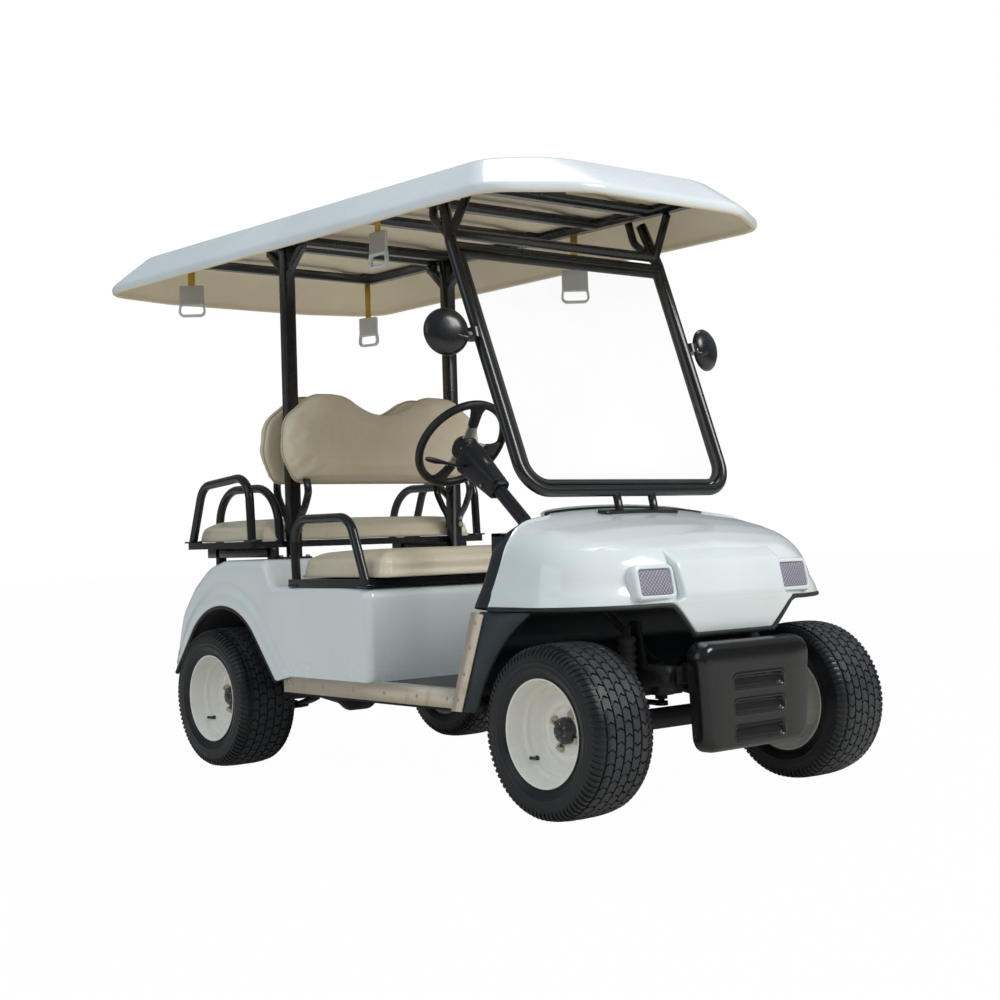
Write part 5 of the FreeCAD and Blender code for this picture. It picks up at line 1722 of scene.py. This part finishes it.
@dataclass(frozen=True)
class Back(Pad):
    """Backrest with two lobes, a soft edge and a flat board behind."""

    foot: Point = (0.0, 0.352, 0.94)
    lean: float = 2.0
    facing: int = -1
    half_thick: float = 0.032

    # half outline seen from the front: x, height over the foot, rounding
    CORNERS = ((0.0, 0.0, 0.0), (0.366, 0.0, 0.034), (0.412, 0.092, 0.11), (0.398, 0.206, 0.08), (0.285, 0.29, 0.1),
               (0.175, 0.292, 0.12), (0.0, 0.182, 0.24))

    def ring(self, inset: float, depth: float) -> list[Vector]:
        """Outline at one depth.

        Args:
            inset: distance inside the widest outline.
            depth: distance towards the sitter from the middle of the pad.

        Returns:
            Points in the row frame.
        """
        half = [(x, z) for x, z, _ in self.CORNERS]
        radii = [radius for _, _, radius in self.CORNERS]
        corners = [(x, 0.0, z) for x, z in half] + [(-x, 0.0, z) for x, z in half[-2:0:-1]]
        sizes = radii + radii[-2:0:-1]
        ring = rounded(corners, sizes, 9, closed=True)
        shifted = []
        for index, point in enumerate(ring):
            step = (ring[(index + 1) % len(ring)] - ring[index - 1]).normalized()
            inner = point + Vector((-step.z, 0.0, step.x)) * inset
            shifted.append(self.placed(inner.x, depth, inner.z))
        return shifted

    def placed(self, x: float, depth: float, height: float) -> Vector:
        """Point of the pad in the row frame."""
        turn = math.radians(self.lean)
        out = depth * self.facing
        return Vector((x, self.foot[1] + out * math.cos(turn) + height * math.sin(turn),
                       self.foot[2] - out * math.sin(turn) + height * math.cos(turn)))

    def skin(self) -> Skin:
        """Rings from the board round the edge to the face."""
        skin = Skin()
        thick = self.half_thick
        rings = [self.ring(inset, depth) for inset, depth in
                 ((0.012, -thick), (0.004, -thick * 0.95), (0.0, -thick * 0.7), (0.0, thick * 0.2),
                  (0.004, thick * 0.62), (0.013, thick * 0.9), (0.026, thick * 1.02))]
        skin.loft(rings)
        return skin

    def held(self, point: Vector) -> float:
        """Free on the face and edge, fixed on the board."""
        depth = (point.y - self.foot[1]) * self.facing
        return smoothstep(depth, -self.half_thick * 0.9, -self.half_thick * 0.1)

    def welts(self) -> Skin:
        """Piping round the board's edge."""
        skin = Skin()
        skin.tube(self.ring(-0.001, -self.half_thick * 0.62), 0.0034, 8, closed=True)
        return skin


# Fittings ---------------------------------------------------------------------------------------


@dataclass(frozen=True)
class Helm:
    """Steering wheel, column with its pod, and stalk, laid out along the column's axis."""

    centre: Point = (-0.24, -0.365, 1.02)
    base: Point = (-0.25, -0.635, 0.8)
    radius: float = 0.1445
    grip: float = 0.0125
    spokes: tuple[float, ...] = (90, 186, 284)

    def build(self) -> None:
        """Make the wheel and the column."""
        axis = (Vector(self.centre) - Vector(self.base)).normalized()
        place = along(self.centre, Vector(self.centre) + axis)
        wheel, column = Skin(), Skin()
        wheel.merge(self.wheel(), place)
        column.merge(self.column(), place)
        self.stalk(column)
        dress(wheel.mesh("helm_wheel", [GRIP, SILVER, ZINC], 32), "steering_wheel", "wheel_black", "steering_wheel")
        dress(column.mesh("helm_column", [COLUMN, ZINC], 32), "cart", "column_black")

    def wheel(self) -> Skin:
        """Rim, spokes with bare necks, hub and its bolts."""
        skin = Skin()
        ring = [(0.0, y, z) for y, z in arc((0, 0), self.radius, 0, 355, 72)]
        skin.tube(ring, self.grip, 16, closed=True)
        skin.lathe([(-0.04, 0.0), (-0.04, 0.03), (-0.036, 0.036), (-0.03, 0.04), (-0.014, 0.042), (-0.008, 0.038),
                    (-0.004, 0.03), (0.004, 0.028), (0.01, 0.022), (0.011, 0.0)], 40)
        for angle in self.spokes:
            turn = Matrix.Rotation(math.radians(angle - 90), 4, "X")
            rows = [self.plate(0.003, 0.0025, *spot) for spot in ((0.036, -0.02, 0.024), (0.078, -0.014, 0.017))]
            spoke = Skin()
            spoke.loft(rows, tint=1)
            # radius, height over the rim's plane, half width, half thickness
            run = ((0.072, -0.015, 0.016, 0.005), (0.078, -0.0142, 0.0175, 0.0065), (0.1, -0.0105, 0.018, 0.007),
                   (0.12, -0.006, 0.021, 0.0075), (0.132, -0.003, 0.028, 0.0085), (0.142, -0.001, 0.04, 0.006))
            spoke.loft([self.plate(thick, thick * 0.8, out, height, half) for out, height, half, thick in run])
            skin.merge(spoke, turn)
        for number in range(6):
            y, z = arc((0, 0), 0.031, 20 + 60 * number, 20 + 60 * number, 2)[0]
            flip = along((-0.0385, y, z), (-1, y, z))
            skin.merge(fastener(Head.DOME, 0.0034, 0.0028), flip, 2)
        return skin

    @staticmethod
    def plate(thick: float, corner: float, out: float, height: float, half: float) -> list[Vector]:
        """Rounded cross-section of a spoke."""
        corners = [(height - thick, -half, out), (height - thick, half, out), (height + thick, half, out),
                   (height + thick, -half, out)]
        return rounded(corners, [corner] * 4, 3, closed=True)

    def column(self) -> Skin:
        """Tube with a pod under the wheel that is deeper on its lower side."""
        skin = Skin()
        skin.tube([(-0.38, 0, 0), (-0.15, 0, 0), (-0.045, 0, 0)], 0.0205, 24)
        # place along the axis, lowest, highest, half width, corner
        pod = ((-0.044, -0.04, 0.03, 0.03, 0.02), (-0.048, -0.052, 0.036, 0.038, 0.024),
               (-0.07, -0.058, 0.036, 0.042, 0.026), (-0.13, -0.047, 0.033, 0.037, 0.022),
               (-0.2, -0.036, 0.031, 0.031, 0.018), (-0.232, -0.031, 0.031, 0.028, 0.016),
               (-0.238, -0.024, 0.026, 0.023, 0.012))
        rings = []
        for x, low, high, half, corner in pod:
            corners = [(x, -half, low), (x, half, low), (x, half, high), (x, -half, high)]
            rings.append(rounded(corners, [corner] * 4, 5, closed=True))
        skin.loft(rings)
        skin.tube([(-0.232, 0.03, 0.0), (-0.226, 0.03, 0.034), (-0.232, 0.0, 0.044)], 0.004, 8)
        for x in (-0.09, -0.19):
            skin.merge(fastener(Head.PAN, 0.005, 0.003), along((x, 0.036, -0.015), (x, 1, -0.015)), 1)
        return skin

    @staticmethod
    def stalk(skin: Skin) -> None:
        """Turn-signal stalk with a thick end."""
        route = flowing([(-0.262, -0.425, 0.952), (-0.318, -0.44, 0.951), (-0.375, -0.441, 0.96),
                         (-0.4, -0.44, 0.964), (-0.432, -0.44, 0.97)], 13)
        skin.tube(route, [0.0055, 0.005, 0.0045, 0.0045, 0.0045, 0.005, 0.006, 0.0075, 0.0085, 0.0088, 0.0086, 0.008,
                          0.005], 12)


@dataclass(frozen=True)
class Bumper:
    """Shallow pillowed moulding with three pressed slots, on two brackets."""

    rear: float = -1.256
    front: float = -1.3115
    slots: tuple[float, ...] = (0.199, 0.268, 0.335)
    # the part of the front that holds the slots: half width, foot and height
    face_half: float = 0.125
    face_low: float = 0.1785
    face_tall: float = 0.2065

    def build(self) -> None:
        """Make the moulding."""
        skin = Skin()
        rings = []
        for inset, depth in ((0.003, -0.001), (0.0, 0.0), (0.0, 0.35), (0.0012, 0.55), (0.0045, 0.74), (0.01, 0.88),
                             (0.016, 0.965), (0.0225, 1.0)):
            y = self.rear + (self.front - self.rear) * depth
            corners = [(-0.203 + inset, y, 0.155 + inset), (0.203 - inset, y, 0.155 + inset),
                       (0.222 - inset, y, 0.446 - inset), (-0.222 + inset, y, 0.446 - inset)]
            rings.append(even_ring(corners, 0.046 - inset * 0.7))
        half, low, high = self.face_half, self.face_low, self.face_low + self.face_tall
        edge = [Vector((x, self.front, z)) for x, z in ((-half, low), (half, low), (half, high), (-half, high))]
        rings.append([min((self.nearest(a, b, point) for a, b in zip(edge, edge[1:] + edge[:1])),
                          key=lambda spot: (spot - point).length) for point in rings[-1]])
        skin.loft(rings, caps=False)
        columns, rows = 101, 87
        across = [-half + 2 * half * column / (columns - 1) for column in range(columns)]
        heights = [low + self.face_tall * row / (rows - 1) for row in range(rows)]
        skin.loft([[(x, self.face(x, z), z) for x in across] for z in heights], closed=False)
        for side in (-1, 1):
            skin.box((side * 0.153 - 0.004, self.front + 0.01, 0.335), (side * 0.153 + 0.004, -1.18, 0.385), 1)
        piece = skin.mesh("front_bumper_moulding", [BUMPER, FRAME_PAINT], 40, weld=0.0002)
        dress(piece, "cart", "bumper_black", "front_bumper")

    @staticmethod
    def nearest(first: Vector, last: Vector, point: Vector) -> Vector:
        """Point of a straight line nearest to another point."""
        run = last - first
        return first + run * max(0.0, min(1.0, (point - first).dot(run) / run.dot(run)))

    def face(self, x: float, z: float) -> float:
        """Y of the face with its slots: a thin rim, then a floor that slopes back upwards."""
        y = self.front
        for middle in self.slots:
            reach = max(abs(x) - 0.094, abs(z - middle) - 0.0145)
            corner = math.hypot(max(abs(x) - 0.086, 0), max(abs(z - middle) - 0.0065, 0)) - 0.008
            reach = max(reach, corner)
            sink = 1.0 - smoothstep(reach, -0.0045, 0.0045)
            rim = max(0.0, 1 - abs(reach - 0.0065) / 0.0035) * 0.0014
            y += sink * (0.01 + 0.004 * (z - middle) / 0.0145) - rim
        return y


@dataclass(frozen=True)
class Dash:
    """Black dash behind the cowl: a rolled edge round it, a dished face, pockets and a painted top strip."""

    def build(self) -> None:
        """Make the dash and its strip."""
        half = Cowl().section(Vector((*COWL_PLAN[0], 0.0)), Vector((0.0, -0.78, 0.0)), 0.0)
        chain = half + [Vector((-point.x, point.y, point.z)) for point in reversed(half[:-1])]
        normals = []
        for index in range(len(chain)):
            step = chain[min(index + 1, len(chain) - 1)] - chain[max(index - 1, 0)]
            normals.append(Vector((step.z, 0.0, -step.x)).normalized())
        rows = []
        for grow, back in ((-0.012, -0.03), (-0.0065, -0.002), (-0.004, 0.04), (-0.006, 0.06), (-0.012, 0.071),
                           (-0.022, 0.074), (-0.032, 0.069), (-0.04, 0.054), (-0.05, 0.03)):
            rows.append([point + normal * grow + Vector((0, back * (1.0 - 0.55 * smoothstep(point.z, 0.7, 0.8)), 0))
                         for point, normal in zip(chain, normals)])
        middle = Vector((0.0, -0.8, 0.6))
        last = rows[-1]
        for part in (0.12, 0.5, 0.98):
            rows.append([Vector((point.x + (middle.x - point.x) * part,
                                 point.y + (middle.y - point.y) * min(1, part * 3),
                                 point.z + (middle.z - point.z) * part)) for point in last])
        skin = Skin()
        skin.loft(rows, closed=False)
        for low, high in ((0.06, 0.46), (-0.47, -0.33)):
            for x0, z0, x1, z1 in ((low, 0.64, high, 0.652), (low, 0.735, high, 0.747),
                                   (low, 0.64, low + 0.012, 0.747), (high - 0.012, 0.64, high, 0.747)):
                skin.box((x0, -0.815, z0), (x1, -0.772, z1), 0, 0.003)
            skin.box((low + 0.01, -0.812, 0.645), (high - 0.01, -0.796, 0.742), 1)
        skin.box((-0.12, -0.812, 0.655), (0.03, -0.786, 0.735), 1, 0.003)
        for x in (-0.095, -0.045, 0.005):
            skin.merge(fastener(Head.PAN, 0.012, 0.012), along((x, -0.787, 0.7), (x, 1, 0.7)), 0)
        dress(skin.mesh("dash_moulding", [DASH, LINER_DARK], 35), "cart", "liner_grey", "dashboard")
        seam = [point + Vector((0, 0.006, 0.001)) for point in chain if abs(point.x) < 0.47]
        top = evenly([point for point in chain if abs(point.x) < 0.31], 40)
        sizes = [0.01 * (1 - (2 * step / 39 - 1) ** 8) + 0.0008 for step in range(40)]
        trim = Skin()
        trim.tube(seam, 0.0045, 8)
        trim.tube([point + Vector((0, 0.02, 0.0)) for point in top], sizes, 12, tint=1, up=(0, 0, 1))
        dress(trim.mesh("dash_top_strip", [EDGE_RUBBER, PANEL]), "cart", "body_white")


@dataclass(frozen=True)
class SeatFrames:
    """Seat rings, armrest hoops, grab hoops, legs and the forked straps under the backs."""

    pipe: float = 0.0145

    def build(self) -> None:
        """Make the front frame, the rear frame and the straps."""
        front, rear, straps = Skin(), Skin(), Skin()
        self.ring(front, 0.53, -0.262, 0.175, 0.598, 0.622)
        self.ring(rear, 0.492, 0.446, 0.874, 0.722, 0.7445)
        for side in Side:
            s = side.value
            self.hoop(front, s * 0.516, s * 0.516,
                      ((-0.238, 0.612), (-0.16, 0.8085), (0.15, 0.8085), (0.14, 0.612)), 0.072)
            self.hoop(rear, s * 0.477, s * 0.477,
                      ((0.466, 0.735), (0.478, 0.962), (0.782, 0.938), (0.862, 0.735)), 0.075)
            self.hoop(rear, s * 0.374, s * 0.378,
                      ((0.458, 0.73), (0.464, 0.9235), (0.832, 0.9235), (0.856, 0.73)), 0.13)
            for y in (-0.238, 0.14):
                front.box((s * 0.516 - 0.017, y - 0.026, 0.598), (s * 0.516 + 0.017, y + 0.026, 0.606), 0, 0.002)
            for y in (0.466, 0.862):
                rear.box((s * 0.474 - 0.022, y - 0.024, 0.744), (s * 0.474 + 0.022, y + 0.024, 0.75), 0, 0.002)
            low, high = sorted((s * 0.385, s * 0.413))
            rear.box((low, 0.446, 0.69), (high, 0.874, 0.722), 0, 0.003)
            rear.box((low, 0.452, 0.684), (high, 0.48, 0.722), 0, 0.003)
            rear.box((low, 0.79, 0.53), (high, 0.818, 0.722), 0, 0.003)
            for y, out, foot in ((0.394, (-0.034, -0.06, -0.062, -0.054), 0),
                                 (0.456, (0.03, 0.06, 0.066, 0.064), 1)):
                x = s * 0.34
                route = flowing([(x, y, 0.775), (x, y, 0.806)] + [(x, y + shift, z) for shift, z in
                                                                zip(out, (0.846, 0.892, 0.918, 0.946))], 26)
                straps.tube(route, 0.0145, 14, flat=0.42, up=(0, 1, 0))
                for z in (0.785, 0.81):
                    spot = (x, y + (-0.005 if foot == 0 else 0.005), z)
                    straps.merge(fastener(Head.HEX, 0.0065, 0.006), along(spot, (x, spot[1] + (foot - 0.5), z)), 1)
            straps.box((s * 0.34 - 0.025, 0.4, 1.058), (s * 0.34 + 0.025, 0.405, 1.102), 0, 0.002)
            straps.box((s * 0.34 - 0.025, 0.445, 1.058), (s * 0.34 + 0.025, 0.452, 1.102), 0, 0.002)
        dress(front.mesh("front_seat_tubes", [TUBE], 30), "cart", "tube_black", "front_seat_frame")
        dress(rear.mesh("rear_seat_tubes", [TUBE], 30), "cart", "tube_black", "rear_seat_frame")
        dress(straps.mesh("back_straps", [TUBE, ZINC], 30), "cart", "tube_black", "backrest_brackets")

    @staticmethod
    def ring(skin: Skin, half: float, y0: float, y1: float, low: float, high: float) -> None:
        """Ring of rectangular tube with round corners and a cross bar."""
        rows = []
        for inset, z in ((0.0, low), (0.0, high), (0.04, high), (0.04, low)):
            corners = [(-half + inset, y0 + inset, z), (half - inset, y0 + inset, z), (half - inset, y1 - inset, z),
                       (-half + inset, y1 - inset, z)]
            rows.append(rounded(corners, [0.012 if inset == 0 else 0.004] * 4, 4, closed=True))
        numbers = [skin.add(row) for row in rows]
        skin.join(numbers, around=True)
        skin.box((-0.02, y0 + 0.03, low + 0.003), (0.02, y1 - 0.03, high - 0.002))

    def hoop(self, skin: Skin, foot_x: float, top_x: float, spots: Sequence[Flat], bend: float) -> None:
        """Bent tube through four corners.

        Args:
            skin: where it goes.
            foot_x: x of the feet.
            top_x: x of the upper run.
            spots: (y, z) of the front foot, front bend, rear bend and rear foot.
            bend: bend radius.
        """
        corners = [(foot_x if index in (0, 3) else top_x, y, z) for index, (y, z) in enumerate(spots)]
        skin.tube(rounded(corners, [0, bend, bend, 0], 12), self.pipe, 18)


@dataclass(frozen=True)
class Mirrors:
    """Round mirrors: domed back, rim and silvered face."""

    def build(self) -> None:
        """Make both heads and their arms."""
        for side in Side:
            skin, s = Skin(), side.value
            middle = Vector((s * 0.522, -0.673, 1.311))
            head = Skin()
            head.lathe([(-0.016, 0.0), (-0.015, 0.027), (-0.01, 0.05), (0.0, 0.063), (0.006, 0.067), (0.012, 0.0675),
                        (0.015, 0.0662), (0.0155, 0.0635), (0.0135, 0.062)], 56)
            head.lathe([(0.0135, 0.062), (0.014, 0.0)], 56, 1)
            skin.merge(head, along(middle, middle + Vector((-s * 0.25, 0.95, -0.1))))
            route = rounded([(s * 0.436, -0.679, 1.306), (s * 0.47, -0.7, 1.29), (s * 0.512, -0.684, 1.303)],
                            [0, 0.018, 0], 6)
            skin.tube(route, 0.007, 12)
            skin.tube([(s * 0.436, -0.684, 1.292), (s * 0.436, -0.676, 1.32)], 0.022, 16)
            skin.merge(fastener(Head.HEX, 0.006, 0.006), along((s * 0.455, -0.69, 1.304), (s * 1.0, -1.6, 1.4)), 2)
            piece = skin.mesh(f"mirror_{side.name.lower()}", [TUBE, MIRROR_GLASS, ZINC], 30)
            dress(piece, "cart", "tube_black", "mirrors")


@dataclass(frozen=True)
class Fasteners:
    """Screws of the sills and of the strips along the cowl's cheeks, and nuts of the post feet."""

    sill_x: float = 0.5345
    strip_x: float = 0.5435
    sill: tuple[float, ...] = (-0.64, -0.5, -0.34, -0.18, -0.02, 0.15)
    strip: tuple[float, ...] = (0.08, 0.34, 0.62, 0.9)
    rivets: tuple[Flat, ...] = ((-0.655, 0.285), (-0.655, 0.302), (-0.668, 0.293), (0.175, 0.285), (0.175, 0.302))
    nuts: tuple[Flat, ...] = ((0.308, 0.393), (0.372, 0.393), (0.308, 0.457), (0.372, 0.457))

    def build(self) -> None:
        """Make every head as one piece."""
        skin = Skin()
        strip = [(-0.794 + 0.104 * share, 0.526 - 0.258 * share) for share in self.strip]
        # head, radius, height, x, places (y, z)
        rows = ((Head.PAN, 0.0055, 0.0028, self.sill_x, [(y, 0.293) for y in self.sill]),
                (Head.DOME, 0.0035, 0.0022, self.sill_x, self.rivets),
                (Head.PAN, 0.0055, 0.0028, self.strip_x, strip))
        for s in (side.value for side in Side):
            for head, radius, height, x, spots in rows:
                for y, z in spots:
                    skin.merge(fastener(head, radius, height), along((s * x, y, z), (s * 2, y, z)))
            for x, y in self.nuts:
                skin.merge(fastener(Head.HEX, 0.007, 0.007), along((s * x, y, 0.689), (s * x, y, 2)))
        dress(skin.mesh("fastener_heads", [ZINC], 30), "cart", "aluminium")


ASSEMBLIES: list[Any] = [
    *(Wheel(end, side, (side.value * half_track, y, HUB_Z))
      for end, half_track, y in ((End.FRONT, FRONT_HALF_TRACK, FRONT_AXLE_Y),
                                 (End.REAR, REAR_HALF_TRACK, REAR_AXLE_Y))
      for side in Side),
    Cowl(),
    RearBody(),
    Roof(),
    Bench("front_cushion", "front_seat_cushion", 0.75, cap=0.01, half_x=0.491),
    Bench("rear_cushion", "rear_seat_cushion", 0.7, cap=0.01, half_x=0.444, rear_y=0.89, front_y=0.456, low=0.7455,
          high=0.802, corner=0.028),
    Back("front_back_pad", "front_backrest", 0.8, cap=0.011),
    Back("rear_back_pad", "rear_backrest", 0.8, cap=0.011, foot=(0.0, 0.52, 0.94), lean=-4.0, facing=1),
    Helm(),
    Bumper(),
    Dash(),
    SeatFrames(),
    Mirrors(),
    Fasteners(),
]


# Studio -----------------------------------------------------------------------------------------


@dataclass
class Studio:
    """Pale floor, soft lamps and the camera."""

    floor_size: float = 60.0
    floor_tone: Colour = (0.55, 0.52, 0.47)
    ambient: float = 0.75
    mirror_dim: float = 0.62
    camera_place: Point = (-3.311, -4.245, 0.745)
    heading: float = 40.76
    climb: float = 1.15
    roll: float = -1.73
    lens: float = 59.0
    shift: float = -0.032

    def build(self) -> None:
        """Make the floor, the world, the lamps and the camera."""
        self.floor()
        self.world()
        self.lamp("key_panel", (2.4, -6.5, 5.6), (0.0, -0.3, 0.6), 3.0, 330.0, (1.0, 0.98, 0.95))
        self.lamp("near_side_fill", (-7.5, 0.0, 4.0), (0.0, 0.3, 0.7), 4.0, 55.0, (0.88, 0.95, 1.0))
        self.lamp("top_panel", (1.5, 1.0, 7.5), (0.0, 0.0, 0.8), 4.0, 150.0, (1.0, 1.0, 1.0))
        self.camera()
        bpy.context.scene.view_settings.view_transform = "Standard"

    def floor(self) -> None:
        """A plane that shows white to the camera except where the cart shades it."""
        skin = Skin()
        half = self.floor_size / 2
        skin.face(skin.add([(-half, -half, 0), (half, -half, 0), (half, half, 0), (-half, half, 0)]))
        graph = Graph(bpy.data.materials.new("studio_floor"))
        camera, glossy, through = self.rays(graph)
        seen = (camera * 0.93 + glossy * 0.2 + through).ramp(0.0, 1.0)
        matt = graph.node("ShaderNodeBsdfDiffuse", sockets={"Color": (*self.floor_tone, 1.0)})
        glow = graph.node("ShaderNodeEmission", sockets={"Color": (1.0, 1.0, 1.0, 1.0), "Strength": 1.0})
        graph.node("ShaderNodeOutputMaterial",
                   sockets={"Surface": graph.node("ShaderNodeMixShader", sockets={0: seen, 1: matt, 2: glow})})
        piece = skin.mesh("studio_floor", [])
        piece.data.materials.append(graph.material)

    def world(self) -> None:
        """White to the camera; cool sky and warm ground as a light, dimmer in mirrors."""
        made = bpy.data.worlds.new("studio_white")
        bpy.context.scene.world = made
        graph = Graph(made)
        camera, glossy, through = self.rays(graph)
        white = (camera + through).ramp(0.0, 1.0)
        direction = graph.node("ShaderNodeTexCoord", output="Generated")
        split = graph.node("ShaderNodeSeparateXYZ", sockets={0: direction}, output=2)
        stops = ((0.0, (0.42, 0.37, 0.3)), (0.12, (0.5, 0.5, 0.5)), (0.45, (0.82, 0.93, 1.0)))
        sky = graph.node("ShaderNodeValToRGB", {"stops": stops}, {0: split})
        strength = (1.0 - glossy * self.mirror_dim) * self.ambient
        background = graph.node("ShaderNodeBackground", sockets={
            "Color": graph.blend(white, sky, (1.0, 1.0, 1.0)), "Strength": strength * (1.0 - white) + white})
        graph.node("ShaderNodeOutputWorld", sockets={"Surface": background})

    @staticmethod
    def rays(graph: Graph) -> tuple[Value, ...]:
        """Whether a ray comes from the camera, a mirror or a see-through sheet."""
        outputs = graph.node("ShaderNodeLightPath").socket.node.outputs
        return tuple(Value(graph, outputs[name])
                     for name in ("Is Camera Ray", "Is Glossy Ray", "Is Transmission Ray"))

    @staticmethod
    def lamp(name: str, place: Point, target: Point, size: float, power: float, colour: Colour) -> None:
        """Add a soft lamp.

        Args:
            name: its name.
            place: where it hangs.
            target: point that it looks at.
            size: side of its square panel.
            power: watts.
            colour: colour of its light.
        """
        light = bpy.data.lights.new(name, "AREA")
        light.shape = "SQUARE"
        light.size = size
        light.energy = power
        light.color = colour
        lamp = bpy.data.objects.new(name, light)
        lamp.location = place
        lamp.rotation_euler = (Vector(target) - Vector(place)).to_track_quat("-Z", "Y").to_euler()
        bpy.context.collection.objects.link(lamp)

    def camera(self) -> None:
        """Camera ahead of the cart's right corner, just over bonnet height."""
        data = bpy.data.cameras.new("view")
        data.lens = self.lens
        data.sensor_width = 36.0
        data.shift_x = self.shift
        data.clip_end = 100.0
        heading, climb, roll = (math.radians(angle) for angle in (self.heading, self.climb, self.roll))
        ahead = Vector((math.sin(heading) * math.cos(climb), math.cos(heading) * math.cos(climb), math.sin(climb)))
        right = ahead.cross(Vector((0, 0, 1))).normalized()
        up = right.cross(ahead)
        turned_right = right * math.cos(roll) + up * math.sin(roll)
        turned_up = up * math.cos(roll) - right * math.sin(roll)
        turn = Matrix((turned_right, turned_up, -ahead)).transposed().to_4x4()
        camera = bpy.data.objects.new("view", data)
        camera.matrix_world = Matrix.Translation(self.camera_place) @ turn
        bpy.context.collection.objects.link(camera)
        bpy.context.scene.camera = camera


def finish_nodes(frame: dict[str, Any]) -> None:
    """Give every CAD node its slot's finish and smooth faces.
    """
    parts = frame["record"]["subparts"]
    for part in parts:
        node = frame["nodes"][part["node"]]
        finish = NODE_FINISHES[part["material_slot"]]
        node.data.materials.clear()
        node.data.materials.append(finish.material())
        weld = node.modifiers.new("weld", "WELD")
        weld.merge_threshold = 0.00001
        node.data.shade_smooth()


def main() -> None:
    """Build every sub-assembly round the frame."""
    logging.basicConfig(level=logging.INFO, format="%(levelname)s %(message)s")
    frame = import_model()
    finish_nodes(frame)
    for assembly in ASSEMBLIES:
        assembly.build()
    Studio().build()


if __name__ == "__main__":
    main()
